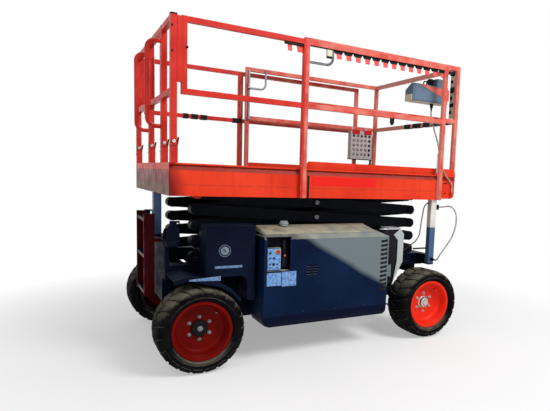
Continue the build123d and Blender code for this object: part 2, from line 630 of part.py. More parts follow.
with BuildPart() as ladder:
    for side in (-1, 1):
        with BuildSketch(side_plane(ENTRY_Y + side * LADDER_HALF + 5)):
            slab(LADDER_X0, LADDER_X1, LADDER_Z0, LADDER_Z1)
        extrude(amount=10)
    for z in (545.0, 837.0, 1130.0):
        block(LADDER_X0 + 5, LADDER_X1 - 5, ENTRY_Y - LADDER_HALF, ENTRY_Y + LADDER_HALF, z - 12, z + 12)
    for side in (-1, 1):
        y = ENTRY_Y + side * LADDER_HALF
        block(LADDER_X1 - 2, CHASSIS_X0 - 5, y - 5, y + 5, BEAM_TOP - 30, BEAM_TOP - 5)
save(ladder, "ladder")

# ---------------------------------------------------------------- main platform
TRACK_IN = OUTER_Y - ARM_WIDTH / 2 - 6           # deck track, inner edge
TRACK_OUTER = OUTER_Y + ARM_WIDTH / 2 + 4
TRACK_Z = DECK_PIN_Z + ROLLER_R + ROLL_GAP       # underside of the deck track
KERB_SLOTS = 16
KERB_SLOT = (1415.0, 1437.0)

with BuildPart() as deck:
    with BuildSketch(Plane(origin=(DECK_X0, 0, 0), x_dir=(0, 1, 0), z_dir=(1, 0, 0))):
        for side in (-1, 1):
            with BuildLine():
                y = side * KERB_Y
                s = side * SHEET
                Polyline((y, DECK_BOTTOM), (y, 1530), (y - 5 * s, KERB_TOP - 12), (y - s, KERB_TOP - 12),
                         (y - s, KERB_TOP), (y - 6 * s, KERB_TOP), (y - 6 * s, KERB_TOP - 14),
                         (y - s, 1527), (y - s, DECK_BOTTOM + SHEET), (y - 8 * s, DECK_BOTTOM + SHEET),
                         (y - 8 * s, DECK_BOTTOM), close=True)
            make_face()
        with Locations((0, FLOOR_TOP - FLOOR_T / 2)):
            Rectangle(2 * KERB_Y - SHEET, FLOOR_T)
        for side in (-1, 1):
            with Locations((side * (TRACK_IN + TRACK_OUTER) / 2, (TRACK_Z + FLOOR_TOP) / 2 - 1)):
                Rectangle(TRACK_OUTER - TRACK_IN, FLOOR_TOP - TRACK_Z - 2)
    extrude(amount=DECK_X1 - DECK_X0)
    block(DECK_X0, DECK_X0 + SHEET, -KERB_Y, KERB_Y, DECK_BOTTOM, KERB_TOP)
    for x in (-1180.0, -600.0, 0.0, 600.0, 1180.0):
        block(x - 30, x + 30, -KERB_Y + 2, KERB_Y - 2, TRACK_Z + 10, FLOOR_TOP - 2)
    block(DECK_X1 - 43, DECK_X1, -KERB_Y, KERB_Y, DECK_BOTTOM, FLOOR_TOP - 2)
    # hangers and pins of the top arms
    for side in (-1, 1):
        y_in = OUTER_Y + ARM_WIDTH / 2 + 5
        lo, hi = span(side, y_in, y_in + 12)
        with BuildSketch(side_plane(hi)):
            slab(BASE_PIN_X - 45, BASE_PIN_X + 45, DECK_PIN_Z, FLOOR_TOP - 2)
            with Locations((BASE_PIN_X, DECK_PIN_Z)):
                Circle(45)
        extrude(amount=12)
        lo, hi = span(side, OUTER_Y - ARM_WIDTH / 2, y_in + 1)
        rod_y(BASE_PIN_X, DECK_PIN_Z, PIN_R, lo, hi)
save(deck, "deck_main")

# side rails: one flat tube frame each side, posts down to the deck's edge
UPRIGHT_X = -1160.0
POST_X1 = POST_X0 + POST
for side, hand in ((-1, "near"), (1, "far")):
    lo, hi = span(side, KERB_Y, RAIL_OUT)
    with BuildPart() as rail:
        with BuildSketch(side_plane(hi)):
            slab(UPRIGHT_X - TUBE / 2, DECK_X1, RAIL_TOP - TUBE, RAIL_TOP)
            slab(UPRIGHT_X - TUBE / 2, DECK_X1, RAIL_MID - TUBE, RAIL_MID)
            slab(UPRIGHT_X - TUBE / 2, UPRIGHT_X + TUBE / 2, RAIL_MID - TUBE, RAIL_TOP)
            slab(POST_X1, UPRIGHT_X, RAIL_MID + 42, RAIL_TOP - 6)
            slab(SEAM_X - 25, SEAM_X + 25, DECK_BOTTOM, RAIL_TOP)
            slab(DECK_X1 - TUBE, DECK_X1, DECK_BOTTOM, RAIL_TOP)
        extrude(amount=hi - lo)
    save(rail, f"rail_main_{hand}")

# entry end: four posts in their sockets, top rail, mid rails and two grab tubes
GATE_HALF = 273.0
POSTS_Y = (-RAIL_OUT + POST / 2, ENTRY_Y - GATE_HALF, ENTRY_Y + GATE_HALF, RAIL_OUT - POST / 2)
SOCKET_TOP = 1705.0
GRAB_Z = (1856.0, 2486.0)
GATE_T = 30.0
GATE_TRAVEL = 330.0
GUIDE_W = 25.0               # reach of a gate guide from its post
GUIDE_T = 5.0
SLIP = 0.5                   # gate bar to its guides
GATE_X = (POST_X0 + POST_X1) / 2

with BuildPart() as entry:
    for y, z0 in zip(POSTS_Y, (KERB_TOP, FLOOR_TOP, FLOOR_TOP, KERB_TOP)):
        block(POST_X0, POST_X1, y - POST / 2, y + POST / 2, z0, RAIL_TOP)
    for y in POSTS_Y[1:3]:
        block(POST_X0, POST_X1 + 6, y - POST / 2 - 4, y + POST / 2 + 4, FLOOR_TOP, SOCKET_TOP)
    for side in (-1, 1):
        lo, hi = span(side, RAIL_OUT - POST - 4, RAIL_OUT)
        block(POST_X0, POST_X1 + 6, lo, hi, KERB_TOP, SOCKET_TOP)
    block(POST_X0 + 2, POST_X1 - 2, POSTS_Y[0], POSTS_Y[3], RAIL_TOP - TUBE, RAIL_TOP)
    block(POST_X0 + 2, POST_X1 - 2, POSTS_Y[0], POSTS_Y[1], RAIL_MID - TUBE, RAIL_MID)
    block(POST_X0 + 2, POST_X1 - 2, POSTS_Y[2], POSTS_Y[3], RAIL_MID - TUBE, RAIL_MID)
    # channels that guide the gate bar, closed below as its stops
    for y, way in ((POSTS_Y[1] + POST / 2, 1), (POSTS_Y[2] - POST / 2, -1)):
        half = GATE_T / 2 + SLIP
        z0 = RAIL_MID - TUBE - ROLL_GAP
        z1 = RAIL_MID + GATE_TRAVEL + 30
        lo, hi = sorted((y - way * 2, y + way * GUIDE_W))
        block(GATE_X - half - GUIDE_T, GATE_X + half + GUIDE_T, lo, hi, z0 - 12, z1)
        lo, hi = sorted((y + way * GUIDE_T, y + way * (GUIDE_W + 5)))
        block(GATE_X - half, GATE_X + half, lo, hi, z0, z1 + 5, mode=Mode.SUBTRACT)
    for y in POSTS_Y[1:3]:
        x = POST_X0 + 4
        with BuildLine() as route:
            FilletPolyline((x, y, GRAB_Z[0]), (GRAB_X, y, GRAB_Z[0]),
                           (GRAB_X, y, GRAB_Z[1]), (x, y, GRAB_Z[1]), radius=60)
        with BuildSketch(Plane(origin=route.line @ 0, z_dir=route.line % 0)):
            Circle(GRAB_R)
        sweep(path=route.line)
save(entry, "rail_entry")

# bar across the way in, which slides up
with BuildPart() as gate:
    y0 = POSTS_Y[1] + POST / 2 + GUIDE_T + SLIP
    y1 = POSTS_Y[2] - POST / 2 - GUIDE_T - SLIP
    block(GATE_X - GATE_T / 2, GATE_X + GATE_T / 2, y0, y1, RAIL_MID - TUBE, RAIL_MID)
save(gate, "gate")

# ---------------------------------------------------------------- roll-out section
EXT_FLOOR = 1492.0
EXT_TOP = RAIL_TOP + EXT_RAISE
EXT_MID = RAIL_MID + 30
EXT_KERB = 1645.0
NOSE_Z = 1352.0              # underside of the part beyond the main platform

with BuildPart() as ext_deck:
    block(EXT_X0, EXT_X1, -EXT_Y, EXT_Y, EXT_FLOOR - 6, EXT_FLOOR)
    for side in (-1, 1):
        lo, hi = span(side, EXT_Y - SHEET, EXT_Y)
        with BuildSketch(side_plane(hi)):
            with BuildLine():
                Polyline((EXT_X0, EXT_FLOOR - 6), (EXT_X0, KERB_TOP), (EXT_X0 + 60, EXT_KERB),
                         (EXT_X1 - 40, EXT_KERB), (EXT_X1 - 12, EXT_KERB - 12),
                         (EXT_X1, EXT_KERB - 40), (EXT_X1, NOSE_Z + 40), (EXT_X1 - 12, NOSE_Z + 12),
                         (EXT_X1 - 40, NOSE_Z), (DECK_X1 + 12, NOSE_Z), (DECK_X1 + 12, EXT_FLOOR - 6),
                         close=True)
            make_face()
            with Locations(((DECK_X1 + EXT_X1) / 2, 1503)):
                SlotOverall(50, 12, mode=Mode.SUBTRACT)
            with Locations(((DECK_X1 + EXT_X1) / 2, 1403)):
                SlotOverall(30, 10, mode=Mode.SUBTRACT)
        extrude(amount=SHEET)
        lo, hi = span(side, EXT_Y - 40, EXT_Y - 4)
        block(EXT_X0, DECK_X1, lo, hi, FLOOR_TOP + ROLL_GAP, EXT_FLOOR - 4)
    block(EXT_X1 - SHEET, EXT_X1, -EXT_Y, EXT_Y, NOSE_Z + 40, EXT_KERB - 40)
    # gland of the console's cable on the near side plate
    block(1436, 1464, -EXT_Y - 26, -EXT_Y + 2, 1385, 1415)
save(ext_deck, "deck_rollout")

for side, hand in ((-1, "near"), (1, "far")):
    lo, hi = span(side, EXT_Y - SHEET - TUBE_Y, EXT_Y - SHEET)
    with BuildPart() as rail:
        with BuildSketch(side_plane(hi)):
            slab(EXT_X0, EXT_X1 - SHEET - TUBE, EXT_TOP - TUBE, EXT_TOP)
            slab(EXT_X0, EXT_X1 - SHEET - TUBE, EXT_MID - TUBE, EXT_MID)
            slab(EXT_X0, EXT_X0 + TUBE, EXT_FLOOR, EXT_TOP)
        extrude(amount=hi - lo)
    save(rail, f"rail_rollout_{hand}")

with BuildPart() as front:
    x0 = EXT_X1 - SHEET - TUBE
    x1 = EXT_X1 - SHEET
    for side in (-1, 1):
        lo, hi = span(side, EXT_Y - SHEET - TUBE_Y, EXT_Y - SHEET)
        block(x0, x1, lo, hi, EXT_FLOOR, EXT_TOP)
    for z in (EXT_TOP, EXT_MID):
        block(x0, x1, -EXT_Y + SHEET, EXT_Y - SHEET, z - TUBE, z)
save(front, "rail_rollout_front")

# handles that the roll-out is pushed by, on the inner faces of its side rails
RAIL_IN = EXT_Y - SHEET - TUBE_Y                 # inner face of a roll-out side rail
HANDLE_R = 11.0
# side, height of the low run, x of its end
HANDLES = [(-1, EXT_TOP - 180, 92.0), (1, EXT_TOP - 217, 25.0)]
HANDLE_X0 = EXT_X0 + TUBE / 2

with BuildPart() as handles:
    for side, low, end in HANDLES:
        y = side * (RAIL_IN - HANDLE_R)
        top = EXT_TOP - TUBE / 2
        with BuildLine() as route:
            FilletPolyline((HANDLE_X0, y, low), (end, y, low), (end, y, top), radius=60)
        with BuildSketch(Plane(origin=route.line @ 0, z_dir=route.line % 0)):
            Circle(HANDLE_R)
        sweep(path=route.line)
save(handles, "push_handles")

CABLE_X = 1225.0             # cable gland under the console
CON_X = (950.0, 1385.0)
CON_Y = (RAIL_IN - 4, RAIL_IN - 134)             # outer and inner face of the console
# it stands on the mid rail: underside, low edge, high edge
CON_Z = (EXT_MID + 137, EXT_MID + 237, EXT_MID + 297)
PLATE_T = 4.0
with BuildPart() as console:
    with BuildSketch(Plane(origin=(CON_X[0], 0, 0), x_dir=(0, 1, 0), z_dir=(1, 0, 0))):
        with BuildLine():
            Polyline((-CON_Y[0], CON_Z[0]), (-CON_Y[1] - 20, CON_Z[0]), (-CON_Y[1], CON_Z[0] + 20),
                     (-CON_Y[1], CON_Z[1]), (-CON_Y[0] + 30, CON_Z[2]), (-CON_Y[0], CON_Z[2]),
                     close=True)
        make_face()
    extrude(amount=CON_X[1] - CON_X[0])
    fillet(console.edges().filter_by(Axis.Z), 14)
    # back plate, and the strap that stands it on the mid rail
    block(CON_X[0] + 20, CON_X[1] - 20, -CON_Y[0] - PLATE_T, -CON_Y[0], CON_Z[0] + 10, CON_Z[2] - 6)
    block(CON_X[1] - 65, CON_X[1] - 20, -CON_Y[0] - PLATE_T, -CON_Y[0] + 2, EXT_MID - TUBE + 4, CON_Z[0] + 20)
    # guard round the lever
    for x in (CON_X[1] - 150, CON_X[1] - 30):
        block(x, x + 8, -CON_Y[0], -CON_Y[0] + 90, CON_Z[1] + 10, CON_Z[2] + 70)
    block(CON_X[1] - 150, CON_X[1] - 22, -CON_Y[0] + 2, -CON_Y[0] + 10, CON_Z[2] - 10, CON_Z[2] + 70)
    block(CON_X[1] - 150, CON_X[1] - 22, -CON_Y[0] + 2, -CON_Y[0] + 90, CON_Z[2] + 62, CON_Z[2] + 70)
    # cable gland underneath
    with Locations((CABLE_X, -CON_Y[0] + 55, CON_Z[0] - 12)):
        Cylinder(14, 30)
save(console, "console")

BOX_X = (1080.0, 1380.0)
BOX_Z = (EXT_MID - 388, EXT_MID - 53)
BOX_DEPTH = 66.0
HOLE_R = 18.0
with BuildPart() as tray:
    y1 = RAIL_IN - PLATE_T
    block(BOX_X[0], BOX_X[1], y1 - BOX_DEPTH, y1, BOX_Z[0], BOX_Z[1])
    block(BOX_X[0] + 4, BOX_X[1] - 4, y1 - BOX_DEPTH + 4, y1 - 4, BOX_Z[0] + 4, BOX_Z[1] + 5, mode=Mode.SUBTRACT)
    with BuildSketch(side_plane(y1 - BOX_DEPTH + 10)):
        with Locations(((BOX_X[0] + BOX_X[1]) / 2, (BOX_Z[0] + BOX_Z[1]) / 2)):
            with GridLocations(54, 54, 5, 5):
                RegularPolygon(HOLE_R, 8)
    extrude(amount=20, mode=Mode.SUBTRACT)
    for x in (BOX_X[0] + 40, BOX_X[1] - 70):
        block(x, x + 30, y1 - 2, RAIL_IN, BOX_Z[1] - 80, EXT_MID - 6)
save(tray, "perforated_box")

# ---------------------------------------------------------------- cables
CABLE_R = 7.0


def cable(points):
    """Round cable along a route, each bend as wide as its two runs allow."""
    with BuildLine() as route:
        FilletPolyline(*points, radius=bends(points))
    with BuildSketch(Plane(origin=route.line @ 0, z_dir=route.line % 0)) as section:
        Circle(CABLE_R)
    sweep(section.sketch, path=route.line)


def bends(points):
    """Radius of each inner corner of a route."""
    corners = [Vector(*p) for p in points]
    radii = []
    for a, b, c in zip(corners, corners[1:], corners[2:]):
        turn = radians((b - a).get_angle(c - b))
        run = min((b - a).length, (c - b).length)
        radii.append(0.45 * run / tan(turn / 2))
    return radii


# from the console's gland, outside the kerb, to the roll-out's side plate
CABLE_END = (1450.0, -752.0, 1415.0)
with BuildPart() as console_cable:
    cable([(CABLE_X, -CON_Y[0] + 55, CON_Z[0] - 27), (CABLE_X, -CON_Y[0] + 55, CON_Z[0] - 120),
           (1240, -678, 2030), (1255, -728, 1900), (1268, -754, 1773), (1302, -758, 1650),
           (1375, -757, 1560), (CABLE_END[0], CABLE_END[1], 1505), CABLE_END])
save(console_cable, "cable_console")

# slack loop from the cable box on the deck rest down to the chassis
LOOP_END = (1278.0, -712.0, 745.0)
with BuildPart() as loop_cable:
    cable([(CHASSIS_X1 + 35, -680, 1265), (1400, -680, 1265), (1450, -760, 1285), (1464, -828, 1215),
           (1460, -838, 1090), (1420, -830, 970), (1352, -812, 870), (1290, -805, 790),
           (LOOP_END[0], -790, LOOP_END[2]), LOOP_END])
save(loop_cable, "cable_loop")
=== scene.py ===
import bpy
import bmesh
from math import asin, cos, pi, radians, sin
from mathutils import Matrix, Vector


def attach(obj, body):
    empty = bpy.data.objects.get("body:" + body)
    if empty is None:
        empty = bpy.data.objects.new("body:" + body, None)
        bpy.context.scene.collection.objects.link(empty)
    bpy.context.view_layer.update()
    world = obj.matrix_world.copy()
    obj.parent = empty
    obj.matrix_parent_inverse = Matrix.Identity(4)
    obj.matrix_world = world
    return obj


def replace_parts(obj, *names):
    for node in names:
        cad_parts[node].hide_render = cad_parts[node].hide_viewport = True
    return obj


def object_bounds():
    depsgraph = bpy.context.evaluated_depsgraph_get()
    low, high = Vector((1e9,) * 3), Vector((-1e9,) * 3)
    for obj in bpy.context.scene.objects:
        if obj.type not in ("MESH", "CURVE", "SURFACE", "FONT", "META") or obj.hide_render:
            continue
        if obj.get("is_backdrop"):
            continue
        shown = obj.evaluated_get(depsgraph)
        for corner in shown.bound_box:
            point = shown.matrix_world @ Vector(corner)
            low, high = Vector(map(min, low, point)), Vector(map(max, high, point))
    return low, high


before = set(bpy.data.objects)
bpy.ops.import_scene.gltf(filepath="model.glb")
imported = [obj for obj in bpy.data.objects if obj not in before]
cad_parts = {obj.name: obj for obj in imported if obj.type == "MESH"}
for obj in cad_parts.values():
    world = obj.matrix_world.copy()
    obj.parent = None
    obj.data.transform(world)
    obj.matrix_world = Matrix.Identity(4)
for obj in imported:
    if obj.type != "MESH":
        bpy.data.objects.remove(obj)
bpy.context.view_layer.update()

# Rough-terrain scissor lift: paint, rubber, steel and the small fittings on the solids.
# Places are in millimetres from the middle of the main platform, as in the part's source.
DECK_MID = 0.0645            # that middle, from the middle of the whole machine, in metres
NEAR, FAR = -1, 1


def at(x, y, z):
    """A place in metres from the machine's middle."""
    return Vector((x / 1000 - DECK_MID, y / 1000, z / 1000))


# ---------------------------------------------------------------- finishes
def blank(name):
    mat = bpy.data.materials.new(name)
    mat.use_nodes = True
    tree = mat.node_tree
    return mat, tree, tree.nodes["Principled BSDF"]


def grain(tree, scale, detail=4.0, stretch=None):
    """Noise that stays on the piece."""
    where = tree.nodes.new("ShaderNodeTexCoord")
    noise = tree.nodes.new("ShaderNodeTexNoise")
    noise.inputs["Scale"].default_value = scale
    noise.inputs["Detail"].default_value = detail
    if stretch:
        turn = tree.nodes.new("ShaderNodeMapping")
        turn.inputs["Scale"].default_value = stretch
        tree.links.new(where.outputs["Object"], turn.inputs["Vector"])
        tree.links.new(turn.outputs["Vector"], noise.inputs["Vector"])
    else:
        tree.links.new(where.outputs["Object"], noise.inputs["Vector"])
    return noise.outputs["Fac"]


def ramp(tree, source, *stops):
    """Colours or greys laid over a value."""
    node = tree.nodes.new("ShaderNodeValToRGB")
    while len(node.color_ramp.elements) < len(stops):
        node.color_ramp.elements.new(0.5)
    for stop, (place, colour) in zip(node.color_ramp.elements, stops):
        stop.position = place
        shade = (colour,) * 3 if isinstance(colour, float) else colour
        stop.color = (*shade, 1.0)
    tree.links.new(source, node.inputs["Fac"])
    return node.outputs["Color"]


def sums(tree, kind, a, b):
    """One sum of two values; either may be a plain number."""
    node = tree.nodes.new("ShaderNodeMath")
    node.operation = kind
    for socket, value in zip(node.inputs, (a, b)):
        if isinstance(value, (int, float)):
            socket.default_value = value
        else:
            tree.links.new(value, socket)
    return node.outputs["Value"]


def mixed(tree, share, a, b):
    """Colour a turning to b as share goes from 0 to 1."""
    node = tree.nodes.new("ShaderNodeMix")
    node.data_type = "RGBA"
    tree.links.new(share, node.inputs["Factor"])
    for name, value in (("A", a), ("B", b)):
        socket = [s for s in node.inputs if s.name == name and s.type == "RGBA"][0]
        if isinstance(value, tuple):
            socket.default_value = (*value, 1.0)
        else:
            tree.links.new(value, socket)
    return [s for s in node.outputs if s.type == "RGBA"][0]


def facing(tree, axis):
    """How far a face looks along X, Y or Z."""
    shape = tree.nodes.new("ShaderNodeNewGeometry")
    split = tree.nodes.new("ShaderNodeSeparateXYZ")
    tree.links.new(shape.outputs["Normal"], split.inputs["Vector"])
    return split.outputs[axis]


def place(tree, axis):
    """The place along an axis, in metres, on the piece."""
    where = tree.nodes.new("ShaderNodeTexCoord")
    split = tree.nodes.new("ShaderNodeSeparateXYZ")
    tree.links.new(where.outputs["Object"], split.inputs["Vector"])
    return split.outputs[axis]


def band(tree, value, low, high, blur=0.002):
    """1 between two values, 0 outside."""
    rise = tree.nodes.new("ShaderNodeMapRange")
    fall = tree.nodes.new("ShaderNodeMapRange")
    for node, a, b in ((rise, low - blur, low + blur), (fall, high + blur, high - blur)):
        tree.links.new(value, node.inputs["Value"])
        node.inputs["From Min"].default_value = a
        node.inputs["From Max"].default_value = b
    return sums(tree, "MULTIPLY", rise.outputs["Result"], fall.outputs["Result"])


def worn_and_glint_edges(tree, radius, noise):
    """1 on corners where paint rubs off, and where the rails' edges carry a painted highlight, with the
    rounded normal that goes with it.
    """
    soft = tree.nodes.new("ShaderNodeBevel")
    soft.samples = 4
    soft.inputs["Radius"].default_value = radius
    shape = tree.nodes.new("ShaderNodeNewGeometry")
    apart = tree.nodes.new("ShaderNodeVectorMath")
    apart.operation = "DOT_PRODUCT"
    tree.links.new(soft.outputs["Normal"], apart.inputs[0])
    tree.links.new(shape.outputs["Normal"], apart.inputs[1])
    edge = ramp(tree, apart.outputs["Value"], (0.80, 1.0), (0.985, 0.0))
    patchy = ramp(tree, noise, (0.48, 0.0), (0.62, 1.0))
    return sums(tree, "MULTIPLY", edge, patchy), soft.outputs["Normal"]


def paint(name, shades, rough=0.38, scale=2.2, edge_wear_and_glint=None, dust_and_highlight=None, dust_and_highlight_share=0.6,
          bump=0.05, metal=0.0, round_edge=0.003, streaks=0.0, extra=None, sheen=0.3):
    """Paint or plastic: shades in soft blotches, chipped edges, dust on what looks up; on the rails the edge
    and up-facing colours are painted highlights, on the module the up-facing colour is partly painted
    sunlight.
    """
    mat, tree, skin = blank(name)
    broad = grain(tree, scale, 6.0)
    fine = grain(tree, 90.0, 3.0)
    places = [0.32 + 0.36 * i / max(1, len(shades) - 1) for i in range(len(shades))]
    colour = ramp(tree, broad, *zip(places, shades))
    if streaks:
        run = ramp(tree, grain(tree, 1.0, 5.0, (14.0, 14.0, 0.9)), (0.52, 0.0), (0.75, streaks))
        colour = mixed(tree, run, colour, tuple(c * 0.55 for c in shades[0]))
    if extra:
        colour = extra(tree, colour)
    # colour on what looks up: dust, and on the rails and the module also painted highlight
    if dust_and_highlight:
        up = ramp(tree, facing(tree, "Z"), (0.35, 0.0), (0.9, dust_and_highlight_share))
        lie = ramp(tree, grain(tree, 9.0, 5.0), (0.3, 0.35), (0.6, 1.0))
        colour = mixed(tree, sums(tree, "MULTIPLY", up, lie), colour, dust_and_highlight)
    edge, normal = worn_and_glint_edges(tree, round_edge, grain(tree, 16.0, 5.0))
    # colour on the edges: worn paint, and on the rails a painted highlight
    if edge_wear_and_glint:
        colour = mixed(tree, edge, colour, edge_wear_and_glint)
    tree.links.new(colour, skin.inputs["Base Color"])
    gloss = ramp(tree, grain(tree, 11.0, 4.0), (0.3, rough * 0.75), (0.7, min(1.0, rough * 1.3)))
    tree.links.new(gloss, skin.inputs["Roughness"])
    dent = tree.nodes.new("ShaderNodeBump")
    dent.inputs["Strength"].default_value = bump
    dent.inputs["Distance"].default_value = 0.001
    tree.links.new(fine, dent.inputs["Height"])
    tree.links.new(normal, dent.inputs["Normal"])
    tree.links.new(dent.outputs["Normal"], skin.inputs["Normal"])
    skin.inputs["Metallic"].default_value = metal
    skin.inputs["Specular IOR Level"].default_value = sheen
    return mat


def kerb_shades(tree, colour):
    """Darker leaning band along the kerb's top; painted shadow, dark maroon, low on the kerb towards the
    ladder end; painted shade on the ladder end face, brown low down and dark red above.
    """
    height = place(tree, "Z")
    along = place(tree, "X")
    lean = band(tree, height, 1.531, 1.569)
    side = ramp(tree, sums(tree, "ABSOLUTE", facing(tree, "Y"), 0), (0.4, 0.0), (0.6, 1.0))
    colour = mixed(tree, sums(tree, "MULTIPLY", lean, side), colour, (0.30, 0.012, 0.006))
    # painted shadow: a slanting dark maroon band low on the kerb towards the ladder end
    shadow_slant = sums(tree, "ADD", along, sums(tree, "MULTIPLY", height, 0.35))
    shadow_slant = sums(tree, "ADD", shadow_slant, sums(tree, "MULTIPLY", grain(tree, 2.5), 0.10))
    painted_shadow = ramp(tree, sums(tree, "ADD", shadow_slant, 1.0), (0.24, 0.85), (0.36, 0.0))
    low = band(tree, height, 1.3, 1.533, 0.003)
    colour = mixed(tree, sums(tree, "MULTIPLY", painted_shadow, low), colour, (0.10, 0.003, 0.006))
    # painted shade on the ladder end face: brown low down, dark red above
    end = band(tree, along, -1.4, -1.3205, 0.0005)
    low = band(tree, height, 1.3, 1.425, 0.008)
    colour = mixed(tree, sums(tree, "MULTIPLY", end, low), colour, (0.13, 0.042, 0.014))
    mid = band(tree, height, 1.425, 1.48, 0.02)
    return mixed(tree, sums(tree, "MULTIPLY", end, mid), colour, (0.16, 0.010, 0.010))


def rail_painted_sunlight(tree, colour):
    """Painted sunlight: paler from the seam post to the steered end, in blotches, most on what faces the
    ladder.
    """
    from_seam = band(tree, place(tree, "X"), -0.285, 2.0, 0.005)
    back = ramp(tree, sums(tree, "MULTIPLY", facing(tree, "X"), -1.0), (0.5, 0.0), (0.9, 0.9))
    blotch = ramp(tree, grain(tree, 9.0, 5.0), (0.35, 0.10), (0.65, 0.50))
    share = sums(tree, "MULTIPLY", from_seam, sums(tree, "MAXIMUM", back, blotch))
    # painted sunlight, pale pink
    return mixed(tree, share, colour, (0.80, 0.36, 0.27))


def deck_shades(tree, colour):
    """Kerbs as above, and a floor whose paint is gone grey where feet go."""
    up = ramp(tree, facing(tree, "Z"), (0.85, 0.0), (0.95, 1.0))
    low = band(tree, place(tree, "Z"), 1.46, 1.50)
    return mixed(tree, sums(tree, "MULTIPLY", up, low), kerb_shades(tree, colour), (0.16, 0.13, 0.12))


def module_shades(tree, colour):
    """Painted sunlight, pale grey, towards the top and the steered end; dark lip below; painted shade inside
    the bay.
    """
    height = place(tree, "Z")
    along = place(tree, "X")
    # painted sunlight: a slanted pale area whose edge is the edge of a cast shadow
    slant = sums(tree, "ADD", sums(tree, "MULTIPLY", along, 0.55), height)
    pale = ramp(tree, sums(tree, "ADD", slant, sums(tree, "MULTIPLY", grain(tree, 3.0), 0.06)),
                (0.875, 0.0), (0.935, 1.0))
    colour = mixed(tree, sums(tree, "MULTIPLY", pale, 0.95), colour, (0.155, 0.195, 0.205))
    lip = band(tree, height, 0.0, 0.383, 0.004)
    colour = mixed(tree, lip, colour, (0.001, 0.003, 0.018))
    # painted shade in the recessed bay
    deep = band(tree, sums(tree, "ABSOLUTE", place(tree, "Y"), 0), 0.5, 0.8585, 0.0005)
    across = band(tree, along, -0.594, -0.390, 0.0005)
    bay = sums(tree, "MULTIPLY", across, band(tree, height, 0.756, 1.030, 0.0005))
    return mixed(tree, sums(tree, "MULTIPLY", deep, bay), colour, (0.002, 0.002, 0.006))


def rim_shades(tree, colour):
    """Painted shade, near black, on the rim's inboard side behind the disc."""
    out = sums(tree, "ABSOLUTE", place(tree, "Y"), 0)
    inboard = band(tree, out, 0.0, 0.7385, 0.001)
    # painted shade on the inboard side
    return mixed(tree, inboard, colour, (0.020, 0.010, 0.008))


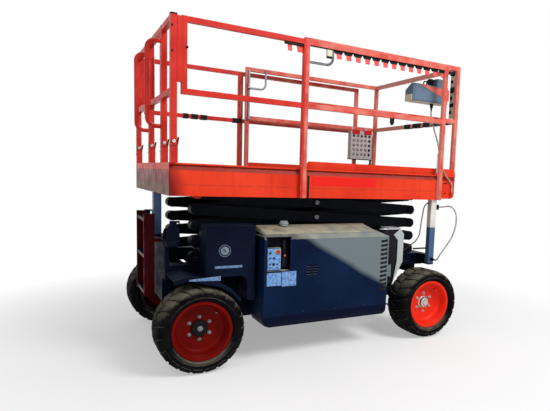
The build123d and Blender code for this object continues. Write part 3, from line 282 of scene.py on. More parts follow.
DUST = (0.30, 0.27, 0.21)
RED_SHADES = [(0.62, 0.028, 0.010), (0.74, 0.044, 0.015), (0.80, 0.060, 0.022)]
FINISH = {
    "deck": paint("platform_paint", RED_SHADES, edge_wear_and_glint=(0.18, 0.06, 0.03), streaks=0.3, extra=deck_shades,
                  dust_and_highlight=DUST, dust_and_highlight_share=0.35, sheen=0.1),
    # rails: the pale pink edge colour and the pale up-facing colour are painted highlights
    "rail": paint("rail_paint", [(0.50, 0.018, 0.012), (0.60, 0.028, 0.018), (0.70, 0.042, 0.028)], scale=5.0,
                  edge_wear_and_glint=(0.80, 0.40, 0.32), dust_and_highlight=(0.84, 0.50, 0.38), dust_and_highlight_share=0.8, round_edge=0.005,
                  streaks=0.4, extra=rail_painted_sunlight, sheen=0.15),
    "patch": paint("kerb_patch", [(0.74, 0.004, 0.0), (0.82, 0.008, 0.001)], rough=0.35),
    # ladder: near-black red, the deck's orange-red paint in painted shade
    "ladder": paint("ladder_paint", [(0.030, 0.001, 0.002), (0.060, 0.002, 0.003)], edge_wear_and_glint=(0.3, 0.22, 0.2),
                    streaks=0.4, sheen=0.05),
    # base: near-black navy, the grey-blue paint in painted shade
    "base": paint("base_paint", [(0.001, 0.002, 0.008), (0.002, 0.004, 0.014), (0.003, 0.007, 0.022)],
                  rough=0.5, edge_wear_and_glint=(0.06, 0.07, 0.08), dust_and_highlight=(0.02, 0.035, 0.05), dust_and_highlight_share=0.3, streaks=0.3,
                  sheen=0.05),
    # module: navy, the grey paint in painted shade; its pale up-facing colour is dust with painted sunlight
    "module": paint("module_paint", [(0.001, 0.005, 0.024), (0.001, 0.009, 0.036), (0.002, 0.013, 0.046)],
                    rough=0.45, edge_wear_and_glint=(0.10, 0.11, 0.12), dust_and_highlight=(0.46, 0.43, 0.31), dust_and_highlight_share=0.95,
                    streaks=0.3, extra=module_shades, sheen=0.06),
    # arms: near black, the grey-blue paint in painted shade
    "arm": paint("arm_paint", [(0.002, 0.003, 0.005), (0.003, 0.005, 0.010)], rough=0.45,
                 edge_wear_and_glint=(0.05, 0.05, 0.05), dust_and_highlight=(0.03, 0.03, 0.035), dust_and_highlight_share=0.3, sheen=0.06),
    "post": paint("post_paint", [(0.040, 0.085, 0.19), (0.060, 0.115, 0.24)], edge_wear_and_glint=(0.25, 0.25, 0.25)),
    "pale": paint("pale_paint", [(0.30, 0.34, 0.35), (0.42, 0.46, 0.46)], edge_wear_and_glint=(0.2, 0.15, 0.1)),
    # rest post tops: pale, painted sunlight with dust
    "painted_sunlit_top": paint("painted_sunlit_top_paint", [(0.62, 0.60, 0.52), (0.74, 0.74, 0.72)], edge_wear_and_glint=(0.2, 0.13, 0.08),
                    scale=9.0),
    "plate": paint("blank_plate", [(0.06, 0.15, 0.36), (0.22, 0.42, 0.78)], rough=0.35, scale=60.0),
    "rim": paint("rim_paint", [(0.74, 0.016, 0.004), (0.86, 0.026, 0.006)], edge_wear_and_glint=(0.12, 0.03, 0.02),
                 round_edge=0.004, extra=rim_shades, sheen=0.15),
    # rear rims: the rim paint in painted shade, near-black red
    "rim_painted_shade": paint("rim_paint_painted_shade", [(0.13, 0.002, 0.001), (0.20, 0.004, 0.002)], edge_wear_and_glint=(0.03, 0.01, 0.01),
                      round_edge=0.004, extra=rim_shades, sheen=0.05),
    "steel": paint("zinc_steel", [(0.42, 0.42, 0.40), (0.62, 0.62, 0.60)], rough=0.32, metal=1.0, scale=30.0),
    "handle": paint("grey_handle", [(0.20, 0.23, 0.27), (0.46, 0.48, 0.50)], rough=0.35, scale=20.0),
    "black": paint("black_parts", [(0.003, 0.003, 0.004), (0.008, 0.008, 0.010)], rough=0.5, bump=0.15,
                   sheen=0.12),
    "cream": paint("cream_plastic", [(0.60, 0.58, 0.40), (0.74, 0.72, 0.54)], rough=0.45),
    "console": paint("console_shell", [(0.08, 0.13, 0.19), (0.13, 0.19, 0.27)], rough=0.5, bump=0.12),
    "box": paint("box_shell", [(0.44, 0.38, 0.38), (0.60, 0.54, 0.54)], rough=0.55, bump=0.1),
    "stop": paint("stop_button", [(0.50, 0.004, 0.004), (0.62, 0.010, 0.008)], rough=0.25),
    "yellow": paint("yellow_ring", [(0.26, 0.34, 0.03), (0.36, 0.44, 0.06)], rough=0.35),
    "cable": paint("cable_cover", [(0.20, 0.18, 0.15), (0.50, 0.48, 0.44)], rough=0.6, scale=45.0),
    "hose": paint("hose_cover", [(0.10, 0.07, 0.05), (0.22, 0.17, 0.14)], rough=0.6, scale=30.0),
    "washer": paint("pin_head", [(0.16, 0.17, 0.18), (0.34, 0.35, 0.36)], rough=0.4, scale=30.0),
    "faded": paint("faded_plate", [(0.07, 0.14, 0.27), (0.18, 0.30, 0.50)], rough=0.5, scale=60.0),
    "orange": paint("orange_lamp", [(0.55, 0.10, 0.01), (0.70, 0.16, 0.02)], rough=0.25),
    "tab": paint("red_tab", [(0.72, 0.055, 0.045), (0.80, 0.10, 0.085)], rough=0.5, scale=12.0),
    "dial": paint("dial_face", [(0.10, 0.15, 0.20), (0.20, 0.26, 0.32)], rough=0.3, scale=20.0),
    "mark": paint("groove_line", [(0.22, 0.010, 0.006), (0.40, 0.030, 0.016)], rough=0.5, scale=40.0),
}


def rubber():
    """Tyre rubber: near black, road dust with painted light on what looks up, fine moulding grain."""
    mat, tree, skin = blank("tyre_rubber")
    dark = ramp(tree, grain(tree, 7.0, 6.0), (0.35, (0.001, 0.001, 0.002)), (0.65, (0.005, 0.005, 0.006)))
    dusty = ramp(tree, grain(tree, 30.0, 5.0), (0.42, 0.0), (0.66, 0.3))
    colour = mixed(tree, dusty, dark, (0.012, 0.012, 0.012))
    # what looks up: grey-brown road dust with painted light
    up = ramp(tree, facing(tree, "Z"), (0.25, 0.0), (0.75, 1.0))
    lie = ramp(tree, grain(tree, 14.0, 5.0), (0.30, 0.35), (0.60, 1.0))
    colour = mixed(tree, sums(tree, "MULTIPLY", up, lie), colour, (0.13, 0.12, 0.09))
    tree.links.new(colour, skin.inputs["Base Color"])
    gloss = ramp(tree, grain(tree, 20.0), (0.3, 0.7), (0.7, 0.95))
    tree.links.new(gloss, skin.inputs["Roughness"])
    skin.inputs["Specular IOR Level"].default_value = 0.05
    dent = tree.nodes.new("ShaderNodeBump")
    dent.inputs["Strength"].default_value = 0.5
    dent.inputs["Distance"].default_value = 0.002
    tree.links.new(grain(tree, 140.0, 3.0), dent.inputs["Height"])
    tree.links.new(dent.outputs["Normal"], skin.inputs["Normal"])
    return mat


FINISH["rubber"] = rubber()

LOOKS = [
    ("arm_", "arm"), ("lift_barrel", "arm"), ("lift_rod", "steel"), ("tyre_", "rubber"),
    ("rim_", "rim"), ("axle_", "base"), ("knuckle_", "base"), ("tie_rod", "steel"),
    ("chassis_frame", "base"), ("belly_pan", "base"), ("fenders", "base"), ("module_", "module"),
    ("engine_block", "black"), ("tank_near", "base"), ("ladder", "ladder"), ("deck_", "deck"),
    ("rail_", "rail"), ("gate", "rail"), ("push_handles", "handle"), ("console", "console"),
    ("perforated_box", "box"), ("cable_", "cable"),
]
for name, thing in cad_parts.items():
    for start, look in LOOKS:
        if name.startswith(start):
            thing.data.materials.clear()
            thing.data.materials.append(FINISH[look])


def brick(mesh, low, high, round_by=0.0, segments=1):
    """A block between two corners, its edges rounded."""
    a, b = at(*low), at(*high)
    made = bmesh.ops.create_cube(mesh, size=1.0)["verts"]
    bmesh.ops.scale(mesh, vec=[abs(d) for d in b - a], verts=made)
    bmesh.ops.translate(mesh, vec=(a + b) / 2, verts=made)
    if round_by:
        edges = list({edge for vert in made for edge in vert.link_edges})
        made = bmesh.ops.bevel(mesh, geom=edges, offset=round_by / 1000, segments=segments,
                               profile=0.5, affect="EDGES", material=-1)["verts"]
    return [vert for vert in made if vert.is_valid]


def plate(mesh, corners, y, thick):
    """A flat plate seen from the side: its corners as (x, z), its face at y, its thickness along Y."""
    face = mesh.faces.new([mesh.verts.new(at(x, y, z)) for x, z in corners])
    grown = bmesh.ops.extrude_face_region(mesh, geom=[face])["geom"]
    back = [part for part in grown if isinstance(part, bmesh.types.BMVert)]
    bmesh.ops.translate(mesh, vec=(0, thick / 1000, 0), verts=back)


def turned(mesh, centre, axis, outline, steps=24):
    """A turned piece: (radius, height along the axis) points spun round the axis."""
    axis = Vector(axis).normalized()
    tip = axis.to_track_quat("Z", "Y")
    rim = [mesh.verts.new(centre + tip @ Vector((r / 1000, 0, h / 1000))) for r, h in outline]
    line = [mesh.edges.new(pair) for pair in zip(rim, rim[1:])]
    bmesh.ops.spin(mesh, geom=rim + line, cent=centre, axis=axis, angle=2 * pi, steps=steps, use_merge=True)


def rod(mesh, start, end, r, steps=12):
    """A round bar between two places, its ends chamfered."""
    run = (end - start).length * 1000
    turned(mesh, start, end - start,
           [(0, 0), (r * 0.8, 0), (r, r * 0.2), (r, run - r * 0.2), (r * 0.8, run), (0, run)], steps)


def bolt(mesh, centre, axis, r, tall, washer=1.6):
    """A hexagon head on its washer."""
    turned(mesh, centre, axis, [(0, 0), (r * washer, 0), (r * washer, tall * 0.2), (0, tall * 0.2)], 20)
    up = Vector(axis).normalized() * tall * 0.0002
    head = [(0, 0), (r, 0), (r, tall * 0.7), (r * 0.86, tall * 0.8), (0, tall * 0.8)]
    turned(mesh, centre + up, axis, head, 6)


def keep(name, mesh, look, body, sharp=32):
    """Closes a mesh, shades its soft faces smooth and hangs it on a body."""
    bmesh.ops.remove_doubles(mesh, verts=mesh.verts, dist=0.00002)
    bmesh.ops.recalc_face_normals(mesh, faces=mesh.faces)
    for face in mesh.faces:
        face.smooth = True
    for edge in mesh.edges:
        edge.smooth = edge.calc_face_angle(0) < radians(sharp)
    data = bpy.data.meshes.new(name)
    mesh.to_mesh(data)
    mesh.free()
    data.materials.append(FINISH[look])
    thing = bpy.data.objects.new(name, data)
    bpy.context.collection.objects.link(thing)
    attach(thing, body)
    return thing


def hose(name, points, r, look, body):
    """A hose held at both ends, its line a smooth spline."""
    line = bpy.data.curves.new(name, "CURVE")
    line.dimensions = "3D"
    spline = line.splines.new("NURBS")
    spline.points.add(len(points) - 1)
    for knot, point in zip(spline.points, points):
        knot.co = (*at(*point), 1.0)
    spline.order_u = 3
    spline.use_endpoint_u = True
    line.resolution_u = 8
    line.bevel_depth = r / 1000
    line.bevel_resolution = 3
    line.use_fill_caps = True
    line.materials.append(FINISH[look])
    thing = bpy.data.objects.new(name, line)
    bpy.context.collection.objects.link(thing)
    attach(thing, body)
    return thing


# ---------------------------------------------------------------- tyres and hubs
TYRE_R, TYRE_HALF, WHEEL_Y = 330.0, 150.0, 730.0
REAR_X, FRONT_X = -1025.0, 1165.0
LUGS_ROUND = 20
# (distance from the tyre's middle, radius) down one flank, from the tread to the bead
FLANK = [(0, 321), (60, 321), (112, 319), (128, 313), (138, 303), (144, 290), (147, 276), (147.4, 266),
         (149.8, 263), (149.8, 259), (146.5, 256), (143, 247), (136, 239), (127, 234), (118, 233), (118, 212)]
# top and root of a lug at places across the tread
LUG_TOP = [(3, 330), (52, 330), (98, 329), (126, 323), (140, 311), (148, 292)]
LUG_ROOT = [(3, 310), (52, 310), (98, 309), (120, 304), (130, 298), (137, 286)]
LUG_LEAN = 46.0              # a lug's outer end trails its inner end by this much
LUG_LONG = (82.0, 90.0)      # round the tyre, at the top and the root


def lug_row(centre, side, start):
    """One row of tread lugs, from the middle of the tread over the shoulder."""
    row = bmesh.new()
    bmesh.ops.create_cube(row, size=1.0)
    across = [e for e in row.edges if abs((e.verts[0].co - e.verts[1].co).x) > 0.5]
    bmesh.ops.subdivide_edges(row, edges=across, cuts=len(LUG_TOP) - 2, use_grid_fill=True)
    upper = {vert for vert in row.verts if vert.co.z > 0}
    for vert in row.verts:
        step = round((vert.co.x + 0.5) * (len(LUG_TOP) - 1))
        w, r = LUG_TOP[step] if vert in upper else LUG_ROOT[step]
        long = LUG_LONG[vert not in upper]
        turn = (vert.co.y * long + LUG_LEAN * (w / TYRE_HALF) ** 1.3) / TYRE_R + start * 2 * pi / LUGS_ROUND
        vert.co = centre + Vector((r * sin(turn), side * w, r * cos(turn))) / 1000
    bmesh.ops.recalc_face_normals(row, faces=row.faces)
    rim = [e for e in row.edges if e.verts[0] in upper and e.verts[1] in upper and e.calc_face_angle(0) > 0.6]
    bmesh.ops.bevel(row, geom=rim, offset=0.004, segments=2, profile=0.5, affect="EDGES", material=-1)
    bmesh.ops.spin(row, geom=row.verts[:] + row.edges[:] + row.faces[:], cent=centre, axis=(0, 1, 0),
                   use_duplicate=True, angle=2 * pi * (LUGS_ROUND - 1) / LUGS_ROUND, steps=LUGS_ROUND - 1)
    return row


def pour(mesh, part):
    """Adds one mesh to another."""
    data = bpy.data.meshes.new("part")
    part.to_mesh(data)
    part.free()
    mesh.from_mesh(data)
    bpy.data.meshes.remove(data)


def tyre(centre):
    """A tyre round an axle along Y: its turned case and two rows of lugs."""
    mesh = bmesh.new()
    half = [(r, w) for w, r in FLANK]
    outline = [(r, w) for r, w in reversed(half)] + [(r, -w) for r, w in half[1:]] + [half[-1]]
    turned(mesh, centre, (0, 1, 0), outline, 80)
    for side, start in ((NEAR, 0.0), (FAR, 0.5)):
        pour(mesh, lug_row(centre, side, start))
    return mesh


# a rim's section, (radius, way out from the wheel's middle): flange, stepped dish, disc, and the seat behind
RIM = [(212, 119), (230, 119), (230, 124), (228, 126), (208, 126), (205, 123), (203, 108), (198, 104),
       (198, 88), (195, 86), (195, 70), (192, 68), (192, 52), (188, 46), (176, 30), (166, 24), (150, 22),
       (128, 22), (126, 20), (70, 20), (0, 20), (0, 8), (140, 8), (170, 12), (184, 30), (190, -60),
       (198, -104), (205, -124), (208, -126), (228, -126), (230, -124), (230, -119), (212, -119),
       (212, 119)]


def hub(centre, side, front):
    """Cap, wheel nuts and valve on the face of a wheel disc."""
    out = Vector((0, side, 0))
    seat = centre + out * 0.0195
    cap = bmesh.new()
    if front:
        turned(cap, seat, out, [(0, 0), (62, 0), (62, 6), (52, 10), (51, 26), (46, 33), (32, 38), (28, 44),
                                (14, 46), (0, 46)], 36)
    else:
        turned(cap, seat, out, [(0, 0), (63, 0), (63, 20), (58, 24), (30, 24), (28, 22), (0, 22)], 36)
    nuts = bmesh.new()
    for i in range(6):
        turn = radians(60 * i)
        foot = centre + out * 0.0195 + Vector((sin(turn), 0, cos(turn))) * 0.088
        bolt(nuts, foot, out, 9.5, 17, 1.5)
        rod(nuts, foot + out * 0.012, foot + out * 0.024, 4.5)
    if not front:
        turned(nuts, seat + out * 0.021, out, [(13, 0), (22, 0), (22, 8), (18, 10), (13, 10), (13, 0)], 6)
        turned(nuts, seat + out * 0.021, out, [(0, 0), (9, 0), (9, 9), (0, 11)], 20)
    rod(nuts, centre + Vector((0.120, 0, 0.112)) + out * 0.030,
        centre + Vector((0.124, 0, 0.117)) + out * 0.068, 5)
    return cap, nuts


for x, tag in ((REAR_X, "rear"), (FRONT_X, "front")):
    for side, hand in ((NEAR, "near"), (FAR, "far")):
        wheel = f"wheel_{tag}_{hand}"
        axle = at(x, side * WHEEL_Y, TYRE_R)
        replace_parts(keep(f"tread_{tag}_{hand}", tyre(axle), "rubber", wheel, 24), f"tyre_{tag}_{hand}")
        rim = bmesh.new()
        turned(rim, axle, (0, side, 0), RIM, 72)
        # the rear rims take the copy of the rim paint in painted shade
        dish = keep(f"wheel_dish_{tag}_{hand}", rim, "rim" if tag == "front" else "rim_painted_shade", wheel, 28)
        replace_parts(dish, f"rim_{tag}_{hand}")
        cap, nuts = hub(axle, side, tag == "front")
        keep(f"hub_cap_{tag}_{hand}", cap, "steel" if tag == "front" else "black", wheel)
        keep(f"wheel_nuts_{tag}_{hand}", nuts, "steel" if tag == "front" else "washer", wheel)

# ---------------------------------------------------------------- pins of the scissor
PITCH, RISE, LEVELS = 2130.0, 130.0, 4
PIN_X0, PIN_Z0, PIN_Y = -995.0, 835.0, 526.0
STOW = asin(RISE / PITCH)
for k in range(1, LEVELS + 1):
    collars, heads = bmesh.new(), bmesh.new()
    for side in (NEAR, FAR):
        for s in (0, PITCH / 2, PITCH):
            x, z = PIN_X0 + s * cos(STOW), PIN_Z0 + (k - 1) * RISE + s * sin(STOW)
            turned(collars, at(x, side * (PIN_Y - 5.5), z), (0, side, 0),
                   [(0, 0), (34, 0), (34, 4), (31, 7), (0, 7)], 28)
            if s == PITCH / 2:
                turned(heads, at(x, side * (PIN_Y + 1), z), (0, side, 0),
                       [(0, 0), (21, 0), (21, 5), (18, 8), (9, 8), (8, 6), (0, 6)], 24)
            else:
                bolt(collars, at(x, side * (PIN_Y + 1), z), (0, side, 0), 10, 8, 1.2)
    keep(f"pin_collars_{k}", collars, "arm", f"inner_{k}")
    keep(f"pin_heads_{k}", heads, "washer", f"inner_{k}")

# ---------------------------------------------------------------- side modules and tank
MODULE_Y, PANEL_Y = 862.0, 850.0
for side, hand, body in ((NEAR, "near", "engine_tray"), (FAR, "far", "chassis")):
    out = side * MODULE_Y
    fins = bmesh.new()
    for i in range(12):
        z = 522 + i * 475 / 12
        brick(fins, (555, out - side * 5, z - 2), (591, out + side * 0.6, z + 21), 1.5)
        tooth = brick(fins, (591, out - side * 5, z + 6), (629, out + side * 0.6, z + 22), 1.5)
        for vert in tooth:
            if vert.co.x > at(610, 0, 0).x:
                vert.co.z += 0.010 if vert.co.z > at(0, 0, z + 14).z else -0.002
    keep(f"louvre_fins_{hand}", fins, "black", body)
    plates = bmesh.new()
    for x0, x1, z0, z1 in ((-527, -405, 638, 744), (-399, -272, 628, 749)):
        brick(plates, (x0, out + side * 0.8, z0), (x1, out - side * 2.5, z1), 0.6)
    keep(f"blank_plates_{hand}", plates, "plate", body)
    panel = bmesh.new()
    brick(panel, (-522, side * (PANEL_Y + 5), 764), (-408, side * (PANEL_Y - 4), 939), 3, 2)
    keep(f"panel_face_{hand}", panel, "plate", body)
    knobs = bmesh.new()
    for x, z, r, tall in ((-500, 905, 9, 10), (-470, 812, 11, 8), (-500, 812, 7, 6), (-440, 812, 7, 6),
                          (-500, 862, 7, 6), (-468, 862, 9, 14), (-500, 785, 5, 5), (-440, 785, 5, 5)):
        turned(knobs, at(x, side * (PANEL_Y + 4.5), z), (0, side, 0),
               [(0, 0), (r, 0), (r, 2), (r * 0.7, 3), (r * 0.6, tall), (0, tall)], 18)
    brick(knobs, (-385, side * 800, 780), (-345, side * 826, 860), 4, 2)
    brick(knobs, (-380, side * 800, 890), (-350, side * 822, 1000), 4, 2)
    keep(f"panel_knobs_{hand}", knobs, "black", body)
    ring = bmesh.new()
    turned(ring, at(-434, side * (PANEL_Y + 4.5), 913), (0, side, 0), [(0, 0), (21, 0), (21, 3), (0, 3)], 28)
    keep(f"stop_ring_{hand}", ring, "yellow", body)
    button = bmesh.new()
    turned(button, at(-434, side * (PANEL_Y - 0.5 + 7), 913), (0, side, 0),
           [(0, 0), (8, 0), (8, 6), (15, 7), (16, 9), (14, 11), (0, 12)], 28)
    keep(f"stop_button_{hand}", button, "stop", body)
    lamp = bmesh.new()
    turned(lamp, at(-365, side * 826, 875), (0, side, 0), [(0, 0), (9, 0), (9, 8), (5, 11), (0, 12)], 18)
    keep(f"bay_lamp_{hand}", lamp, "orange", body)
    crease = bmesh.new()
    rod(crease, at(-60, side * 860.5, 519), at(618, side * 860.5, 519), 1.6, 8)
    for x, z in ((-540, 500), (-200, 400), (100, 400), (400, 400)):
        bolt(crease, at(x, side * 859.5, z), (0, side, 0), 5, 2.4, 1.3)
    keep(f"module_trim_{hand}", crease, "module", body)
    # hood, rising to the back and falling off at the steered end
    hood = bmesh.new()
    bmesh.ops.create_cube(hood, size=1.0)
    along = [e for e in hood.edges if abs((e.verts[0].co - e.verts[1].co).x) > 0.5]
    bmesh.ops.subdivide_edges(hood, edges=along, cuts=2)
    for vert in hood.verts:
        step = round((vert.co.x + 0.5) * 3)
        back = vert.co.y > 0
        x = (-540, -520, 525, 632)[step]
        crown = (1060, 1100, 1104, 1052)[step] if back else (1044, 1051, 1052, 1018)[step]
        low = (1028, 1046, 1046, 1016)[step]
        vert.co = at(x, side * (566 if back else 836), crown if vert.co.z > 0 else low)
    bmesh.ops.recalc_face_normals(hood, faces=hood.faces)
    corners = [e for e in hood.edges if e.calc_face_angle(0) > 0.5]
    bmesh.ops.bevel(hood, geom=corners, offset=0.004, segments=2, profile=0.5, affect="EDGES", material=-1)
    keep(f"hood_{hand}", hood, "module", body)
    cap = bmesh.new()
    turned(cap, at(-286, side * 612, 1096), (0, 0, 1),
           [(0, 0), (36, 0), (36, 14), (40, 16), (40, 26), (34, 32), (0, 32)], 12)
    brick(cap, (-318, side * 606, 1126), (-254, side * 618, 1138), 3, 2)
    keep(f"filler_cap_{hand}", cap, "pale", body)

dial = bmesh.new()
turned(dial, at(-839, -769.5, 924), (0, NEAR, 0), [(0, 0), (33, 0), (33, 2), (30, 3), (0, 3)], 36)
turned(dial, at(-839, -769.5, 924), (0, NEAR, 0), [(43, 0), (47, 0), (47, 3), (43, 3), (43, 0)], 36)
keep("tank_dial", dial, "dial", "chassis")
needle = bmesh.new()
rod(needle, at(-852, -773.5, 938), at(-832, -773.5, 917), 3.5, 8)
brick(needle, (-905, -771.5, 876), (-773, -769.5, 878), 0.5)
brick(needle, (-905, -771.5, 972), (-773, -769.5, 974), 0.5)
keep("dial_needle", needle, "black", "chassis")
strip = bmesh.new()
brick(strip, (-916, -773, 786), (-699, -769, 806), 1.5)
for side in (NEAR, FAR):
    label = brick(strip, (-1128, side * 864, 712), (-896, side * 859.5, 748), 1)
    for vert in label:
        if vert.co.x < at(-1000, 0, 0).x:
            vert.co.z = at(0, 0, 728).z + (vert.co.z - at(0, 0, 730).z) * 0.35
keep("blank_strips", strip, "faded", "chassis")

# ---------------------------------------------------------------- main platform
KERB_Y, SEAM_X, DECK_X0, DECK_X1 = 790.0, -215.0, -1258.0, 1258.0
KERB_LOW, KERB_LEAN = 1343.0, 1530.0      # the kerb's lower edge, and where it leans in
for side, hand in ((NEAR, "near"), (FAR, "far")):
    face = side * KERB_Y
    groove = bmesh.new()
    for i in range(16):
        x = -1195 + i * 150
        brick(groove, (x, face - side * 1.5, 1423), (x + 124, face + side * 0.5, 1426.5), 0.4)
    keep(f"kerb_slots_{hand}", groove, "mark", "platform")
    seam = bmesh.new()
    brick(seam, (SEAM_X - 4, face - side * 2, KERB_LOW), (SEAM_X - 1, face + side * 1.2, KERB_LEAN), 0.5)
    brick(seam, (DECK_X0 + 1, face - side * 2, KERB_LEAN - 3),
          (DECK_X1 - 1, face + side * 1.2, KERB_LEAN + 1), 0.5)
    keep(f"kerb_seams_{hand}", seam, "deck", "platform")
    patch = bmesh.new()
    brick(patch, (-122, face - side * 1.5, 1446), (519, face + side * 1.0, 1521))
    corners = [e for e in patch.edges if abs((e.verts[0].co - e.verts[1].co).y) > 0.002]
    bmesh.ops.bevel(patch, geom=corners, offset=0.014, segments=4, profile=0.5, affect="EDGES", material=-1)
    keep(f"kerb_patch_{hand}", patch, "patch", "platform")
    gap = bmesh.new()
    brick(gap, (-164, face - side * 2, KERB_LOW), (-144, face + side * 0.8, KERB_LEAN - 1), 0.4)
    keep(f"kerb_gap_{hand}", gap, "black", "platform")

# ---------------------------------------------------------------- rails
POST_X0, POST_X1 = -1253.0, -1209.0       # the four posts of the entry end
POSTS_Y = (-802.0, -453.0, 93.0, 802.0)
SOCKET_HALF, SOCKET_TOP = 27.0, 1698.0     # the sockets that the posts stand in
PIN_Z, RING_Z = 1668.0, 1731.0
RAIL_TOP, RAIL_UNDER = 2597.0, 2558.5      # top rail: its top, and just under it
RAIL_OUT = 824.0                           # outer face of the side rails
# each socket's pin with its head, and a ring on two of its faces
pins = bmesh.new()
for y in POSTS_Y:
    rod(pins, at(POST_X0 - 9, y, PIN_Z), at(POST_X1 + 12, y, PIN_Z), 6)
    turned(pins, at(POST_X0 - 1, y, PIN_Z), (-1, 0, 0), [(0, 0), (13, 0), (13, 3), (0, 3)], 16)
    for out in ((-1, 0, 0), (0, -1, 0)):
        end_face, side_face = at(POST_X0 - 0.5, y, RING_Z), at(POST_X0 + 22, y - SOCKET_HALF + 0.5, RING_Z)
        face = end_face if out[0] else side_face
        turned(pins, face, out, [(0, 0), (12, 0), (12, 3), (8, 4), (8, 2), (0, 2)], 18)
keep("socket_pins", pins, "steel", "platform")
clasps = bmesh.new()
for y in POSTS_Y:
    hook = brick(clasps, (POST_X1 - 2, y - 5, SOCKET_TOP + 2), (POST_X1 + 10, y + 5, SOCKET_TOP + 64), 2)
    for vert in hook:
        if vert.co.z > at(0, 0, SOCKET_TOP + 42).z:
            vert.co.x += 0.010
for z in (2350, 2520):
    bolt(clasps, at(POST_X0 + 10, -RAIL_OUT - 0.6, z), (0, NEAR, 0), 6, 5, 1.2)
bolt(clasps, at(-1142, -RAIL_OUT - 0.6, 2386), (0, NEAR, 0), 8, 8, 1.2)
brick(clasps, (POST_X0 - 2, -RAIL_OUT - 2, RAIL_TOP - 3), (POST_X1 + 2, -780, RAIL_TOP + 8), 3, 2)
keep("post_clasps", clasps, "black", "platform")
seams = bmesh.new()
brick(seams, (-1211, -RAIL_OUT - 1, 2146), (-1206, -RAIL_OUT + 1, RAIL_TOP - 7), 0.5)
for y in POSTS_Y:
    brick(seams, (POST_X0 - 1.5, y - SOCKET_HALF, SOCKET_TOP),
          (POST_X1 + 7, y + SOCKET_HALF, SOCKET_TOP + 9), 1)
keep("post_seams", seams, "mark", "platform")
# a row of warning tabs hangs under the near top rail, below a black strip of painted shadow
TABS, TAB_PITCH, TAB_X, TAB_WIDE = 13, 93.0, 84.0, 54.0
TAB_LOW, TAB_HIGH = 2490.0, 2545.0
tabs = bmesh.new()
for x, wide in [(-357, 40), (-262, 76)] + [(TAB_X + TAB_PITCH * i, TAB_WIDE) for i in range(TABS)]:
    tab = brick(tabs, (x - wide / 2, -806, TAB_LOW), (x + wide / 2, -803, TAB_HIGH), 0.8)
    for vert in tab:
        if vert.co.z < at(0, 0, TAB_LOW + 10).z:
            vert.co.x = at(x, 0, 0).x + (vert.co.x - at(x, 0, 0).x) * 0.82 + 0.004
keep("rail_tabs", tabs, "tab", "platform")
# a black strip of painted shadow under the near top rail with its scallops, dark marks on the far mid rail, a
# clip under the near one
strips = bmesh.new()
brick(strips, (-400, -817, 2538), (-236, -794, RAIL_UNDER), 1)
brick(strips, (-194, -817, 2553), (1236, -794, RAIL_UNDER), 1)
for i in range(TABS + 1):
    x = TAB_X - 46 + TAB_PITCH * i
    scallop = brick(strips, (x - 4, -808, 2530), (x + TAB_PITCH - 4, -801, 2556), 1)
    for vert in scallop:
        if vert.co.z < at(0, 0, 2535).z:
            vert.co.x = at(x + 42, 0, 0).x + (vert.co.x - at(x + 42, 0, 0).x) * 0.7
for x0, x1 in ((-814, -758), (-733, -662), (-641, -570), (-300, -200)):
    brick(strips, (x0, 789, 2058), (x1, 829, 2108), 2)
brick(strips, (632, -822, 2018), (664, -792, 2066), 3)
brick(strips, (638, -818, 2004), (658, -796, 2020), 3)
brick(strips, (-28, -812, 2484), (22, -792, 2500), 3)
keep("rail_dark_pieces", strips, "black", "platform")
socket = bmesh.new()
brick(socket, (-30, -812, 2498), (20, -790, 2556), 5, 2)
keep("rail_outlet", socket, "cream", "platform")

# ---------------------------------------------------------------- roll-out section
EXT_X0, EXT_X1, EXT_Y = -190.0, 1495.0, 738.0
RAIL_IN = 699.0                                # inner face of its side rails
poles = bmesh.new()
POLE_X, POLE_Y = EXT_X0 + 32, RAIL_IN - 11     # the upright rod beside each push handle
for side in (NEAR, FAR):
    y = side * POLE_Y
    rod(poles, at(POLE_X, y, 2112), at(POLE_X, y, 2607), 10, 16)
    turned(poles, at(POLE_X, y, 2096), (0, 0, 1), [(0, 0), (16, 0), (16, 20), (10, 24), (0, 24)], 20)
keep("handle_poles", poles, "handle", "rollout")
blocks = bmesh.new()
for side in (NEAR, FAR):
    y = side * POLE_Y
    for z in (2100, 2404):
        brick(blocks, (POLE_X - 14, y - 12, z), (POLE_X + 14, y + 12, z + 16), 3)
keep("handle_clamps", blocks, "black", "rollout")

# control box: end cover, sloped face, lever, its guard and bracket
CON_X0, CON_X1, CON_IN, CON_OUT = 950.0, 1385.0, -565.0, -695.0
CON_LOW = 2267.0                               # its underside
cover = bmesh.new()
brick(cover, (CON_X0 - 4, CON_OUT + 10, CON_LOW + 1), (CON_X0 + 46, CON_IN - 6, CON_LOW + 63), 8, 3)
brick(cover, (CON_X0 + 40, CON_OUT + 4, CON_LOW), (CON_X1 - 10, CON_IN - 10, CON_LOW + 9), 3)
keep("console_cover", cover, "cream", "rollout")
face = bmesh.new()
lean = brick(face, (CON_X0 + 30, CON_OUT + 24, 2372), (CON_X1 - 160, CON_IN - 14, 2378), 2, 2)
for vert in lean:
    vert.co.z -= (vert.co.y + 0.572) * 0.6     # it slopes up to the rail
keep("console_face", face, "plate", "rollout")
lever = bmesh.new()
turned(lever, at(1195, -640, 2412), (0, 0, 1), [(0, 0), (34, 0), (30, 8), (20, 14), (15, 26), (0, 26)], 24)
brick(lever, (1172, -662, 2434), (1218, -618, 2500), 9, 3)
for x in (1010, 1050, 1090):
    turned(lever, at(x, -622, 2400), (0, 0.4, 1), [(0, 0), (9, 0), (9, 10), (6, 13), (0, 13)], 16)
# two bent bars guard the lever
for y in (-650, -600):
    for start_at, end_at in (((1128, y, 2404), (1150, y, 2478)), ((1150, y, 2478), (1330, y, 2496))):
        rod(lever, at(*start_at), at(*end_at), 6)
